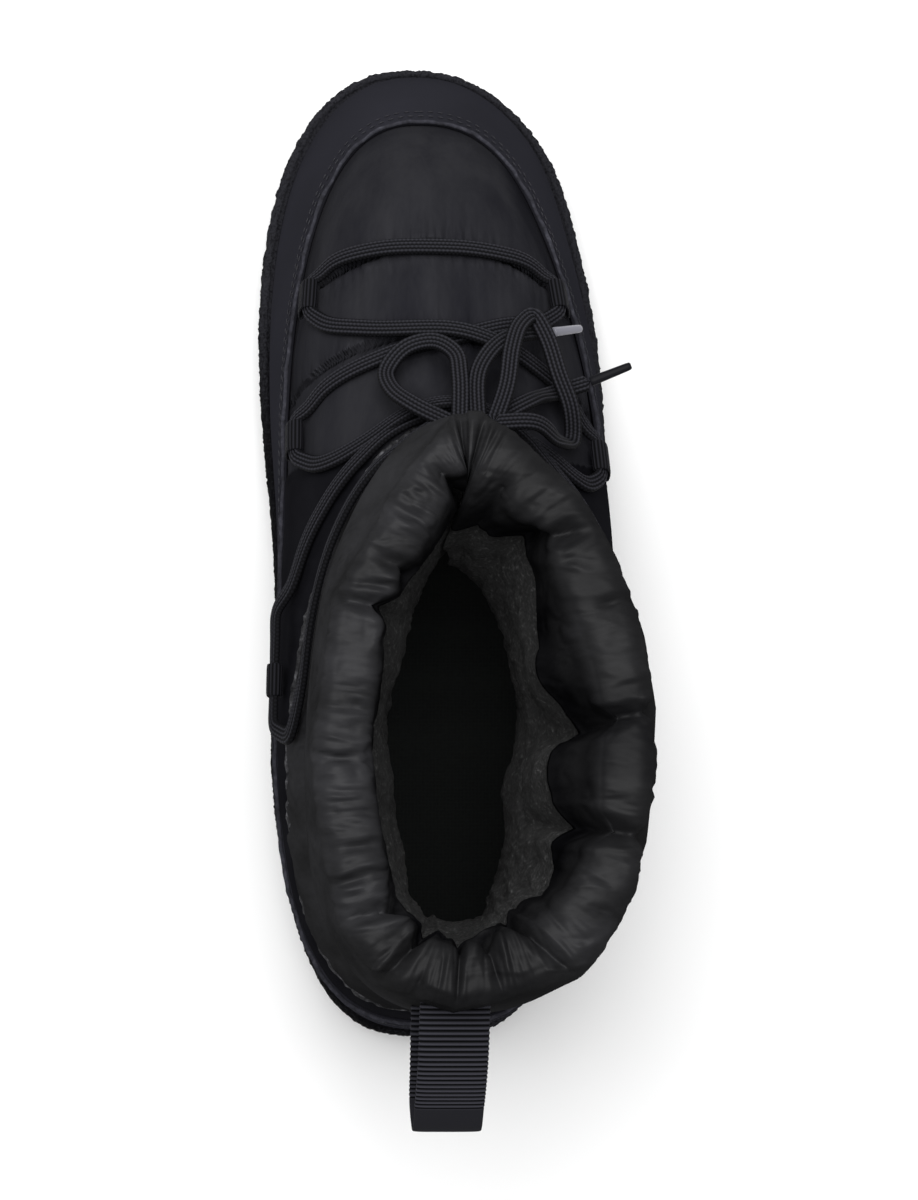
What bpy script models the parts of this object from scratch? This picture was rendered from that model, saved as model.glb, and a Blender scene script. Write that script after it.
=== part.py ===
"""A padded winter boot for the right foot, standing empty on its sole.

Sizes are in millimetres, and MM turns them into Blender's metres when a mesh is made.
X runs to the outer side of the foot, Y from heel to toe and Z up from the ground.
The origin lies on the ground under the middle of the heel.
"""

import math

import bmesh
import bpy
import numpy as np
from mathutils import Matrix, Vector
from mathutils.bvhtree import BVHTree

MM = 0.001
GAP = 0.3

# The sole: its length, its heights and the plan that it shares with the foot of the upper.
TOE_Y = 234.0
HEEL_Y = -42.0
SOLE_HALF_WIDTH = 48.7
SOLE_WIDEST_Y = 135.0
SOLE_FRONT_POWER = 2.28
SOLE_BACK_POWER = 3.05
WAIST_INSET = 2.5
WAIST_Y = 78.0
WAIST_REACH = 58.0
HEEL_THICKNESS = 28.0
BALL_THICKNESS = 22.5
HEEL_TO_BALL_Y = (15.0, 130.0)
TOE_SPRING = 12.0
TOE_BREAK_Y = 176.0
HEEL_BEVEL = 3.0
HEEL_FLAT_END_Y = -26.0
ARCH_RISE = 3.0
ARCH_Y = (30.0, 104.0)
LUG_DEPTH = 4.5
LUG_ROOT = 2.0
LUG_GAP = 5.0
LUG_EDGE = 5.0
LUG_TAPER = 0.86
LIP_DROP = 1.4
SOLE_SIDE_POINTS = 36

# How the middle of the foot bends: the sideways place of the middle line at each length.
CENTRE_ROWS = {
    "heel end": (-42.0, -1.0),
    "heel": (35.0, 0.2),
    "waist": (107.0, 1.4),
    "ball": (165.0, -1.9),
    "toes": (200.0, -4.2),
    "toe end": (234.0, -6.0),
}

# The side of the sole from the tread up: how far it lies inside the outline, and its share of the height.
SOLE_SIDE_COLUMNS = ("inset", "height")
SOLE_SIDE_ROWS = {
    "tread edge": (4.2, 0.0),
    "foot of the side": (1.3, 0.06),
    "lower rib": (0.2, 0.16),
    "lower rib top": (0.2, 0.40),
    "step": (1.5, 0.45),
    "step top": (1.5, 0.54),
    "upper rib": (0.0, 0.60),
    "upper rib top": (0.0, 0.93),
    "lip": (0.8, 1.0),
    "lip inside": (2.1, 1.0),
}
LIP_FLOOR_INSET = 2.6

# Rows of tread lugs: where the row lies, how long its lugs are and how many stand across it.
LUG_ROWS = {
    "heel end": (-26.0, 13.0, 2),
    "heel": (0.0, 20.0, 3),
    "heel front": (24.0, 13.0, 3),
    "ball back": (112.0, 13.0, 3),
    "ball": (131.0, 13.0, 3),
    "ball middle": (151.0, 15.0, 3),
    "ball front": (171.0, 13.0, 3),
    "toes": (190.0, 13.0, 3),
    "toe end": (210.0, 14.0, 2),
}

# The outer form of the upper, a row for each level from the sole to the collar.
FORM_COLUMNS = (
    "front_y", "front_z", "back_y", "back_z", "half_width",
    "widest_y", "front_power", "back_power", "front_taper", "wall",
)
FORM_ROWS = {
    "feather line": (228.0, 32.4, -36.5, 27.4, 43.4, 135.0, 2.28, 3.05, 0.00, 8.0),
    "rand middle": (224.5, 45.0, -38.0, 42.0, 44.4, 110.0, 2.30, 3.0, 0.00, 9.0),
    "rand top": (208.5, 60.0, -37.6, 56.0, 44.0, 70.0, 2.36, 2.9, 0.00, 10.0),
    "toe crown": (192.0, 71.5, -36.2, 69.0, 44.4, 56.0, 2.24, 2.7, 0.00, 11.0),
    "vamp": (168.0, 80.5, -35.2, 82.0, 43.6, 46.0, 2.16, 2.6, 0.00, 12.0),
    "instep": (143.0, 88.5, -34.6, 94.0, 42.0, 38.0, 2.10, 2.5, 0.00, 13.5),
    "ankle seam": (121.5, 99.0, -33.8, 104.0, 40.0, 33.0, 2.04, 2.45, 0.00, 14.0),
    "ankle": (108.5, 117.0, -36.2, 121.0, 42.4, 31.0, 2.00, 2.4, 0.03, 15.5),
    "shaft": (109.5, 139.0, -37.6, 141.0, 43.0, 30.0, 2.00, 2.4, 0.06, 16.5),
    "collar foot": (109.0, 160.0, -37.8, 161.0, 42.4, 29.0, 2.00, 2.42, 0.09, 17.5),
    "collar": (107.0, 180.0, -37.0, 180.0, 41.5, 28.0, 2.00, 2.42, 0.11, 16.0),
}
COLLAR_LEAN = 5.8
COLLAR_BOW = 3.5
COLLAR_BOW_REACH = 70.0
HALF_POINTS = 25
END_CROWDING = 0.45
OUTER_LEVELS = 21
INNER_LEVELS = 13
ROLL_STEPS = 5

RAND_THICKNESS = 1.8
RAND_TOP_LEVEL = 0.2
RAND_LEVELS = 5

INSOLE_THICKNESS = 4.0
INSOLE_CLEARANCE = 1.0
INSOLE_TOP_CLEARANCE = 3.2

# The lace: a cord that the tabs hold, with its middle this far off the upper.
LACE_RADIUS = 1.9
LACE_LIFT = 2.7
TAB_LIFT = 4.3
OVER_LIFT = 7.4
LACE_SIDES = 1
TAB_WIDTH = 7.0
TAB_STRAIGHT_STEPS = 3
TAB_INNER_RADIUS = 2.6
TAB_THICKNESS = 0.9
TAB_TAIL = 1.5
TAB_POINTS = 14

# Each half of the lace from the front bar to the knot, as places that are then laid on the upper.
LACE_COLUMNS = ("x", "y", "z", "lift")
INNER_START_ROWS = {
    "front bar": (-3.0, 168.2, 81.0, LACE_LIFT),
    "front bar side": (-21.0, 166.8, 77.0, LACE_LIFT),
    "turn in": (-30.6, 162.4, 71.5, LACE_LIFT),
    "front tab": (-31.4, 155.2, 71.5, TAB_LIFT),
    "turn out": (-30.0, 147.8, 75.0, LACE_LIFT),
    "cross back": (-18.0, 144.0, 83.5, LACE_LIFT),
    "first crossing": (5.0, 141.5, 88.5, OVER_LIFT),
    "down the vamp": (25.0, 132.8, 84.5, LACE_LIFT),
    "second turn in": (34.6, 118.6, 81.0, LACE_LIFT),
    "second tab": (36.4, 109.4, 81.5, TAB_LIFT),
    "second turn out": (35.4, 101.2, 86.5, LACE_LIFT),
    "up the instep": (22.0, 108.5, 95.5, LACE_LIFT),
    "second crossing": (1.0, 122.0, 98.4, LACE_LIFT),
    "round the ankle": (-24.0, 103.5, 97.0, LACE_LIFT),
    "ankle side": (-39.5, 82.0, 90.0, LACE_LIFT),
    "ankle tab": (-45.0, 50.0, 84.0, TAB_LIFT),
    "ankle turn": (-43.0, 34.0, 91.0, LACE_LIFT),
    "return": (-41.0, 50.0, 101.0, LACE_LIFT),
    "return front": (-34.0, 85.0, 108.0, LACE_LIFT),
    "to the knot": (-9.0, 108.5, 110.5, LACE_LIFT),
}
OUTER_START_ROWS = {
    "front bar": (-3.0, 168.2, 81.0, LACE_LIFT),
    "front bar side": (13.0, 167.4, 79.0, LACE_LIFT),
    "turn in": (25.8, 162.2, 72.6, LACE_LIFT),
    "front tab": (27.6, 154.8, 73.6, TAB_LIFT),
    "turn out": (26.4, 147.8, 77.0, LACE_LIFT),
    "cross back": (16.0, 145.8, 84.6, LACE_LIFT),
    "first crossing": (5.0, 142.2, 88.5, LACE_LIFT),
    "down the vamp": (-17.0, 135.2, 87.2, LACE_LIFT),
    "second turn in": (-32.0, 124.6, 79.6, LACE_LIFT),
    "second tab": (-34.0, 115.6, 78.5, TAB_LIFT),
    "second turn out": (-32.6, 107.6, 84.0, LACE_LIFT),
    "up the instep": (-18.0, 110.5, 95.5, LACE_LIFT),
    "second crossing": (1.0, 121.6, 98.6, OVER_LIFT),
    "round the ankle": (28.0, 101.5, 97.5, LACE_LIFT),
    "ankle side": (42.0, 82.0, 90.0, LACE_LIFT),
    "ankle tab": (47.0, 50.0, 84.0, TAB_LIFT),
    "ankle turn": (45.0, 34.0, 91.0, LACE_LIFT),
    "return": (43.0, 50.0, 101.0, LACE_LIFT),
    "return front": (37.0, 85.0, 108.0, LACE_LIFT),
    "to the knot": (19.5, 107.5, 110.0, LACE_LIFT),
}
TAB_NAMES = {"front tab": "front", "second tab": "middle", "ankle tab": "ankle"}
LACE_STEPS = 5

# The bow: its knot, the ways in which cords leave it, and their places in the air over the vamp.
KNOT_CENTRE = (5.0, 117.6, 113.0)
KNOT_RADII = (8.0, 5.0, 5.4)
KNOT_STRAIGHT = 3.5
LEAVING = {
    "lace_inner": (-0.95, -0.20, -0.12),
    "lace_outer": (0.95, -0.35, -0.12),
    "inner_loop_start": (-0.90, 0.40, 0.25),
    "inner_loop_end": (-0.35, 0.90, 0.10),
    "outer_loop_start": (0.75, 0.60, 0.25),
    "outer_loop_end": (0.80, -0.05, 0.60),
    "inner_end_start": (0.45, 0.85, -0.30),
    "outer_end_start": (0.95, 0.30, -0.35),
}
AIR_COLUMNS = ("x", "y", "z")
INNER_LOOP_ROWS = {
    "side": (-9.0, 120.6, 111.0),
    "outer side": (-14.6, 126.2, 104.0),
    "tip": (-15.4, 132.4, 97.6),
    "tip front": (-10.6, 138.2, 97.4),
    "front": (-3.0, 139.8, 98.8),
    "turn": (2.2, 136.0, 102.6),
    "back": (3.2, 129.4, 108.2),
}
OUTER_LOOP_ROWS = {
    "rise": (15.4, 126.0, 110.0),
    "front": (17.2, 137.2, 105.2),
    "near the tip": (20.2, 145.0, 98.6),
    "tip": (23.4, 147.8, 95.0),
    "side": (26.6, 142.4, 95.8),
    "over the end": (30.2, 131.0, 97.2),
    "outer side": (33.4, 122.6, 95.4),
    "lowest": (34.2, 115.4, 91.4),
    "turn": (29.6, 112.6, 103.4),
    "under the collar": (22.0, 115.6, 115.0),
}
INNER_END_ROWS = {
    "over the vamp": (8.6, 131.4, 106.0),
    "under the loop": (13.6, 138.8, 100.8),
    "past the loop": (21.6, 143.2, 93.0),
    "tip": (29.4, 144.8, 86.6),
}
OUTER_END_ROWS = {
    "by the loop": (21.0, 122.6, 105.0),
    "under the loop": (29.6, 127.4, 91.8),
    "tip": (39.0, 130.8, 89.8),
}
INNER_AGLET_END = (37.4, 147.0, 80.8)
OUTER_AGLET_END = (49.8, 135.0, 91.5)
AGLET_RADIUS = 1.2
BOW_STEPS = 4

# The pull loop behind the collar, as the middle line of its webbing in the Y-Z plane.
LOOP_WIDTH = 17.0
LOOP_CENTRE_X = -1.5
LOOP_THICKNESS = 1.5
LOOP_COLUMNS = ("y", "z")
LOOP_ROWS = {
    "upper end": (-38.5, 171.8),
    "upper middle": (-49.0, 167.0),
    "upper bend": (-59.0, 158.0),
    "tip": (-65.0, 149.0),
    "lower bend": (-60.5, 146.5),
    "lower middle": (-50.0, 153.0),
    "lower end": (-38.7, 158.4),
}
LOOP_STEPS = 4

# The finish of each piece, found by the start of its name: what it is, its colour and its roughness.
FINISHES = {
    "outsole": ("moulded black rubber", (0.050, 0.050, 0.055), 0.80),
    "insole": ("flat black textile", (0.020, 0.020, 0.022), 0.95),
    "upper": ("satin padded nylon", (0.035, 0.035, 0.040), 0.45),
    "rand": ("smooth coated rand", (0.045, 0.045, 0.052), 0.55),
    "pull_loop": ("ribbed black webbing", (0.030, 0.030, 0.034), 0.75),
    "lace_tab": ("plain black webbing", (0.030, 0.030, 0.034), 0.75),
    "lace": ("flat black braid", (0.025, 0.025, 0.030), 0.80),
    "aglet": ("clear grey lace tip", (0.220, 0.220, 0.240), 0.30),
}
SHARP_EDGE = math.radians(40.0)


def columns(names, rows):
    """The rows of a table as one array for each named column."""
    return dict(zip(names, np.array(list(rows.values()), float).T))


def smooth(values, knots, at):
    """A cubic curve through values at knots, each slope taken from the neighbouring rows."""
    slopes = np.gradient(values, knots)
    i = np.clip(np.searchsorted(knots, at, side="right") - 1, 0, len(knots) - 2)
    span = knots[i + 1] - knots[i]
    t = (at - knots[i]) / span
    start = values[i] * (1 + 2 * t) + slopes[i] * span * t
    end = values[i + 1] * (3 - 2 * t) + slopes[i + 1] * span * (t - 1)
    return start * (1 - t) ** 2 + end * t ** 2


def step(low, high, at):
    """Rises from 0 at low to 1 at high with level ends."""
    t = np.clip((at - low) / (high - low), 0.0, 1.0)
    return t * t * (3 - 2 * t)


def through(rows, names, steps):
    """A smooth path through the rows of a table, with this many steps between rows."""
    table = columns(names, rows)
    places = np.stack([table[name] for name in names[:3]], axis=1)
    spans = np.linalg.norm(np.diff(places, axis=0), axis=1)
    knots = np.concatenate([[0.0], np.cumsum(spans)])
    at = np.interp(np.linspace(0, len(spans), steps * len(spans) + 1), np.arange(len(knots)), knots)
    return np.stack([smooth(table[name], knots, at) for name in names], axis=1)


def centre_x(y):
    """The sideways place of the middle line of the foot."""
    table = np.array(list(CENTRE_ROWS.values())).T
    return smooth(table[1], table[0], y)


def sole_bottom(y):
    """Height of the tread: flat at heel and ball, raised in the arch, at the toe and at the heel end."""
    spring = TOE_SPRING * np.clip((y - TOE_BREAK_Y) / (TOE_Y - TOE_BREAK_Y), 0.0, 1.0) ** 1.7
    bevel = HEEL_BEVEL * np.clip((HEEL_FLAT_END_Y - y) / (HEEL_FLAT_END_Y - HEEL_Y), 0.0, 1.0) ** 2
    along = np.clip((y - ARCH_Y[0]) / (ARCH_Y[1] - ARCH_Y[0]), 0.0, 1.0)
    return spring + bevel + ARCH_RISE * np.sin(math.pi * along) ** 2


def sole_top(y):
    """Height of the lip round the sole, which falls from heel to ball and follows the toe spring."""
    fall = step(*HEEL_TO_BALL_Y, y)
    spring = TOE_SPRING * np.clip((y - TOE_BREAK_Y) / (TOE_Y - TOE_BREAK_Y), 0.0, 1.0) ** 1.7
    return HEEL_THICKNESS + (BALL_THICKNESS - HEEL_THICKNESS) * fall + 0.9 * spring


def waist(y):
    """How far the sides draw in between heel and ball."""
    return WAIST_INSET * np.cos(np.clip((y - WAIST_Y) / WAIST_REACH, -1, 1) * math.pi / 2) ** 2


def half_plan(front_y, back_y, half_width, widest_y, front_power, back_power, taper, points):
    """Half an outline from front to back: two quarter superellipses, points crowded towards the ends."""
    angle = np.linspace(0.0, math.pi, 2001)
    along, across = np.cos(angle), np.sin(angle)
    power = np.where(along >= 0, front_power, back_power)
    reach = np.where(along >= 0, front_y - widest_y, widest_y - back_y)
    y = widest_y + np.sign(along) * reach * np.abs(along) ** (2 / power)
    x = half_width * np.abs(across) ** (2 / power) * (1 - taper * np.clip(along, 0, 1))
    length = np.concatenate([[0.0], np.cumsum(np.hypot(np.diff(x), np.diff(y)))])
    share = np.linspace(0.0, 1.0, points + 1)
    share = share - END_CROWDING * np.sin(2 * math.pi * share) / (2 * math.pi)
    return np.interp(share * length[-1], length, x), np.interp(share * length[-1], length, y)


def closed_plan(x, y, draw_in):
    """Both sides of an outline: down the outer side from the front, then up the inner side."""
    x = np.maximum(x - draw_in * np.clip(x / SOLE_HALF_WIDTH * 2, 0, 1), 0.0)
    return np.concatenate([x, -x[-2:0:-1]]), np.concatenate([y, y[-2:0:-1]])


def sole_ring(inset, height, drop=0.0):
    """Outline of the sole drawn in by inset, at a share of the height between tread base and lip."""
    x, y = half_plan(
        TOE_Y - inset, HEEL_Y + inset, SOLE_HALF_WIDTH - inset, SOLE_WIDEST_Y,
        SOLE_FRONT_POWER, SOLE_BACK_POWER, 0.0, SOLE_SIDE_POINTS,
    )
    x, y = closed_plan(x, y, waist(y))
    base = sole_bottom(y) + LUG_DEPTH
    return np.stack([x + centre_x(y), y, base + height * (sole_top(y) - base) - drop], axis=1)


FORM = columns(FORM_COLUMNS, FORM_ROWS)
FORM_KNOTS = np.linspace(0.0, 1.0, len(FORM_ROWS))


def form_value(name, level):
    """One column of the form table at a level between 0 and 1."""
    return float(smooth(FORM[name], FORM_KNOTS, np.array(level)))


def form_ring(level):
    """Outer form of the upper at a level: its plan, with heights between the back and the front."""
    row = {name: form_value(name, level) for name in FORM_COLUMNS}
    x, y = half_plan(
        row["front_y"], row["back_y"], row["half_width"], row["widest_y"],
        row["front_power"], row["back_power"], row["front_taper"], HALF_POINTS,
    )
    x, y = closed_plan(x, y, waist(y) * (1 - step(0.0, 0.3, level)))
    share = (y - row["back_y"]) / (row["front_y"] - row["back_y"])
    z = row["back_z"] + (row["front_z"] - row["back_z"]) * share
    foot = sole_top(y) - LIP_DROP + GAP
    straight = FORM["back_z"][0] + (FORM["front_z"][0] - FORM["back_z"][0]) * share
    z = z + (foot - straight) * (1 - step(0.0, 0.35, level))
    bend = 1 - step(0.1, 0.8, level)
    lean = COLLAR_LEAN - COLLAR_BOW * ((y - row["widest_y"]) / COLLAR_BOW_REACH) ** 2
    return np.stack([x + centre_x(y) * bend + lean * (1 - bend), y, z], axis=1)


def unit(rows):
    """Rows of vectors, each made one long."""
    return rows / np.linalg.norm(rows, axis=1, keepdims=True)


def form_normals(level):
    """Outward directions round a level. At the sole and at the collar they are level."""
    here = form_ring(level)
    across = form_ring(min(level + 0.01, 1.0)) - form_ring(max(level - 0.01, 0.0))
    outward = np.cross(across, np.roll(here, -1, axis=0) - np.roll(here, 1, axis=0))
    level_share = max(1 - step(0.0, 0.04, level), step(0.93, 1.0, level))
    outward = unit(outward)
    outward[:, 2] *= 1 - level_share
    return unit(outward)


def offset_ring(level, distance):
    """The form at a level, moved outward by a distance. The lowest ring stays just off the sole."""
    ring = form_ring(level) + form_normals(level) * distance
    if level == 0.0:
        ring[:, 2] = sole_top(ring[:, 1]) - LIP_DROP + GAP
    return ring


def finish(name, mesh):
    """Turns a bmesh into a named object with its faces outward."""
    bmesh.ops.recalc_face_normals(mesh, faces=mesh.faces)
    data = bpy.data.meshes.new(name)
    mesh.to_mesh(data)
    mesh.free()
    made = bpy.data.objects.new(name, data)
    bpy.context.collection.objects.link(made)
    return made


def cap(mesh, row):
    """Fills an outline with strips from its outer to its inner side."""
    half = len(row) // 2
    inner = [row[0]] + row[:half - 1:-1]
    for k in range(half):
        corners = [row[k], row[k + 1], inner[k + 1], inner[k]]
        mesh.faces.new(list(dict.fromkeys(corners)))


def loft(name, rings, wrap=False):
    """A solid through closed rings. Wrap joins the last ring to the first, else both ends are capped."""
    mesh = bmesh.new()
    rows = [[mesh.verts.new(Vector(point) * MM) for point in ring] for ring in rings]
    pairs = list(zip(rows, rows[1:]))
    if wrap:
        pairs.append((rows[-1], rows[0]))
    else:
        cap(mesh, rows[0])
        cap(mesh, rows[-1])
    for low, high in pairs:
        for k in range(len(low)):
            j = (k + 1) % len(low)
            mesh.faces.new((low[k], low[j], high[j], high[k]))
    return finish(name, mesh)


def join(target, other):
    """Unites another solid with the target and removes it."""
    bpy.context.view_layer.objects.active = target
    union = target.modifiers.new("union", "BOOLEAN")
    union.operation = "UNION"
    union.solver = "EXACT"
    union.object = other
    bpy.ops.object.modifier_apply(modifier=union.name)
    bpy.data.objects.remove(other)


def make_lugs():
    """Tapered tread blocks in rows across the sole, rooted in the tread base."""
    mesh = bmesh.new()
    x, y = half_plan(
        TOE_Y, HEEL_Y, SOLE_HALF_WIDTH, SOLE_WIDEST_Y,
        SOLE_FRONT_POWER, SOLE_BACK_POWER, 0.0, SOLE_SIDE_POINTS,
    )
    for row_y, row_length, count in LUG_ROWS.values():
        ends = np.array([row_y - row_length / 2, row_y + row_length / 2])
        half = np.interp(ends, y[::-1], (x - waist(y))[::-1]).min() - LUG_EDGE
        width = (2 * half - LUG_GAP * (count - 1)) / count
        bottom = float(sole_bottom(np.array(row_y)))
        height = LUG_DEPTH + LUG_ROOT
        for number in range(count):
            middle = float(centre_x(np.array(row_y))) - half + width / 2 + number * (width + LUG_GAP)
            made = bmesh.ops.create_cube(mesh, size=1.0)
            for vert in made["verts"]:
                share = LUG_TAPER if vert.co.z < 0 else 1.0
                vert.co = Vector((
                    (middle + vert.co.x * width * share) * MM,
                    (row_y + vert.co.y * row_length * share) * MM,
                    (bottom + (vert.co.z + 0.5) * height) * MM,
                ))
    return finish("lugs", mesh)


def make_outsole():
    """The sole's stepped side between tread base and lip floor, with its lugs joined on."""
    rings = [sole_ring(inset, height) for inset, height in SOLE_SIDE_ROWS.values()]
    rings.append(sole_ring(LIP_FLOOR_INSET, 1.0, LIP_DROP))
    outsole = loft("outsole", rings)
    join(outsole, make_lugs())
    return outsole


def make_upper():
    """One hollow wall: up the outer form, over the rolled collar and down the inside."""
    rings = [form_ring(level) for level in np.linspace(0.0, 1.0, OUTER_LEVELS)]
    radius = form_value("wall", 1.0) / 2
    top = form_ring(1.0)
    outward = form_normals(1.0)
    for turn in np.linspace(0.0, math.pi, ROLL_STEPS + 1)[1:-1]:
        rise = np.array([0.0, 0.0, radius * math.sin(turn)])
        rings.append(top + outward * radius * (math.cos(turn) - 1) + rise)
    for level in np.linspace(1.0, 0.0, INNER_LEVELS):
        rings.append(offset_ring(level, -form_value("wall", level)))
    return loft("upper", rings, wrap=True)


def make_rand():
    """The mudguard band, a layer over the upper's own form from the sole up to its top edge."""
    levels = np.linspace(0.0, RAND_TOP_LEVEL, RAND_LEVELS)
    inside = [offset_ring(level, GAP) for level in levels]
    outside = [offset_ring(level, GAP + RAND_THICKNESS) for level in levels[::-1]]
    return loft("rand", inside + outside, wrap=True)


def make_insole():
    """The footbed inside the wall, lying on the sole."""
    wall = form_value("wall", 0.0)
    foot = offset_ring(0.0, -wall - INSOLE_CLEARANCE)
    top = offset_ring(0.0, -wall - INSOLE_TOP_CLEARANCE)
    return loft("insole", [foot, top + np.array([0.0, 0.0, INSOLE_THICKNESS])])


def form_surface():
    """The outer form as faces, ready for finding the nearest place on them."""
    rings = np.array([form_ring(level) for level in np.linspace(0.0, 1.0, OUTER_LEVELS)])
    levels, points, _ = rings.shape
    index = np.arange(levels * points).reshape(levels, points)
    beside = np.roll(index, -1, axis=1)
    faces = np.stack([index[:-1], index[1:], beside[1:], beside[:-1]], axis=-1).reshape(-1, 4)
    return BVHTree.FromPolygons((rings.reshape(-1, 3) * MM).tolist(), faces.tolist())


def seat(surface, path):
    """Lays places on a surface, each held off it by its own lift."""
    seated = []
    for x, y, z, lift in path:
        place, normal, _, _ = surface.find_nearest(Vector((x, y, z)) * MM)
        seated.append(np.array(place / MM + normal * lift))
    return np.array(seated)


def evened(points, passes):
    """A path with its corners eased by averaging neighbours."""
    points = np.array(points)
    for _ in range(passes):
        points[1:-1] = (points[:-2] + 2 * points[1:-1] + points[2:]) / 4
    return points


def cord(name, points, radius):
    """A round cord with closed ends along a path."""
    data = bpy.data.curves.new(name, "CURVE")
    data.dimensions = "3D"
    data.bevel_depth = radius * MM
    data.bevel_resolution = LACE_SIDES
    data.use_fill_caps = True
    line = data.splines.new("POLY")
    line.points.add(len(points) - 1)
    for place, point in zip(line.points, points):
        place.co = (*(point * MM), 1.0)
    made = bpy.data.objects.new(name, data)
    bpy.context.collection.objects.link(made)
    return made


def straighten(points, at):
    """Makes a path straight for a few steps on both sides of one place, so that a tab can hold it."""
    reach = TAB_STRAIGHT_STEPS
    middle = points[at].copy()
    along = unit((points[at + reach] - points[at - reach])[None])[0]
    for k in range(at - reach, at + reach + 1):
        points[k] = middle + along * ((points[k] - middle) @ along)


def make_tab(name, surface, points, at):
    """A webbing loop round the lace: a teardrop tube whose tail runs down the wall."""
    middle = points[at]
    along = unit((points[at + 1] - points[at - 1])[None])[0]
    place, _, _, _ = surface.find_nearest(Vector(middle) * MM)
    outward = middle - np.array(place / MM)
    outward = unit((outward - along * (outward @ along))[None])[0]
    up = np.cross(along, outward)
    up = up if up[2] > 0 else -up
    turn = np.linspace(0.0, 2 * math.pi, TAB_POINTS, endpoint=False)

    def circle(radius, tail, shift):
        rise = radius * np.sin(turn)
        rise = np.where(rise < 0, rise * tail, rise)
        return middle + np.outer(radius * np.cos(turn), outward) + np.outer(rise, up) + along * shift

    outer = TAB_INNER_RADIUS + TAB_THICKNESS
    half = TAB_WIDTH / 2
    return loft(name, [
        circle(outer, TAB_TAIL, -half), circle(outer, TAB_TAIL, half),
        circle(TAB_INNER_RADIUS, 1.0, half), circle(TAB_INNER_RADIUS, 1.0, -half),
    ], wrap=True)


def off_knot(way, distance):
    """A place straight out from the knot's surface in one of the named ways."""
    radii = np.array(KNOT_RADII)
    reach = np.array(LEAVING[way])
    reach = reach / np.linalg.norm(reach / radii)
    outward = unit((reach / radii ** 2)[None])[0]
    return np.array(KNOT_CENTRE) + reach + outward * distance


def make_lace():
    """The laced cord from the knot round all the tabs and back to the knot, and the tabs that hold it."""
    surface = form_surface()
    halves = {}
    for side, rows in (("inner", INNER_START_ROWS), ("outer", OUTER_START_ROWS)):
        path = through(rows, LACE_COLUMNS, LACE_STEPS)
        path[:, 3] = np.maximum(path[:, 3], LACE_LIFT)
        path[:, :3] = evened(seat(surface, path), 2)
        halves[side] = seat(surface, path)
        for number, row_name in enumerate(rows):
            if row_name in TAB_NAMES:
                straighten(halves[side], number * LACE_STEPS)
        for number, row_name in enumerate(rows):
            if row_name in TAB_NAMES:
                at = number * LACE_STEPS
                tab_side = "inner" if halves[side][at][0] < 0 else "outer"
                make_tab(f"lace_tab_{tab_side}_{TAB_NAMES[row_name]}", surface, halves[side], at)
        to_knot = [off_knot(f"lace_{side}", KNOT_STRAIGHT), off_knot(f"lace_{side}", GAP)]
        halves[side] = np.concatenate([halves[side], to_knot])
    cord("lace", np.concatenate([halves["inner"][::-1], halves["outer"][1:]]), LACE_RADIUS)


def from_knot(start, rows, end=None):
    """A smooth path that leaves the knot squarely, follows the rows and may come back to the knot."""
    places = {"start": off_knot(start, GAP), "clear": off_knot(start, KNOT_STRAIGHT), **rows}
    if end:
        places["near"] = off_knot(end, KNOT_STRAIGHT)
        places["end"] = off_knot(end, GAP)
    return through(places, AIR_COLUMNS, BOW_STEPS)


def make_bow():
    """The knot, two loops, two ends and their hard tips."""
    mesh = bmesh.new()
    bmesh.ops.create_uvsphere(mesh, u_segments=10, v_segments=6, radius=1.0)
    radii = Matrix.Diagonal(Vector(KNOT_RADII) * MM)
    for vert in mesh.verts:
        vert.co = radii @ vert.co + Vector(KNOT_CENTRE) * MM
    finish("lace_knot", mesh)
    for side, rows in (("inner", INNER_LOOP_ROWS), ("outer", OUTER_LOOP_ROWS)):
        path = from_knot(f"{side}_loop_start", rows, f"{side}_loop_end")
        cord(f"lace_loop_{side}", path, LACE_RADIUS)
    for side, rows, tip in (
        ("inner", INNER_END_ROWS, INNER_AGLET_END), ("outer", OUTER_END_ROWS, OUTER_AGLET_END),
    ):
        path = from_knot(f"{side}_end_start", rows)
        cord(f"lace_end_{side}", path, LACE_RADIUS)
        ahead = unit((np.array(tip) - path[-1])[None])[0]
        cord(f"aglet_{side}", np.array([path[-1] + ahead * 2 * GAP, np.array(tip)]), AGLET_RADIUS)


def make_pull_loop():
    """Webbing folded into a loop: its middle line thickened both ways and drawn out across the heel."""
    middle = through(LOOP_ROWS, LOOP_COLUMNS, LOOP_STEPS)
    ahead = unit(np.gradient(middle, axis=0))
    beside = np.stack([-ahead[:, 1], ahead[:, 0]], axis=1) * LOOP_THICKNESS / 2
    outline = np.concatenate([middle + beside, (middle - beside)[::-1]])
    data = bpy.data.curves.new("pull_loop", "CURVE")
    data.dimensions = "2D"
    data.fill_mode = "BOTH"
    data.extrude = LOOP_WIDTH / 2 * MM
    line = data.splines.new("POLY")
    line.points.add(len(outline) - 1)
    for place, (y, z) in zip(line.points, outline):
        place.co = (y * MM, z * MM, 0.0, 1.0)
    line.use_cyclic_u = True
    made = bpy.data.objects.new("pull_loop", data)
    made.rotation_euler = (math.pi / 2, 0.0, math.pi / 2)
    made.location.x = LOOP_CENTRE_X * MM
    bpy.context.collection.objects.link(made)


def make_finishes():
    """A material for each row of the finish table."""
    made = {}
    for start, (title, colour, roughness) in FINISHES.items():
        material = bpy.data.materials.new(title)
        material.use_nodes = True
        shader = material.node_tree.nodes["Principled BSDF"]
        shader.inputs["Base Color"].default_value = (*colour, 1.0)
        shader.inputs["Roughness"].default_value = roughness
        shader.inputs["Metallic"].default_value = 0.0
        made[start] = material
    return made


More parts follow.
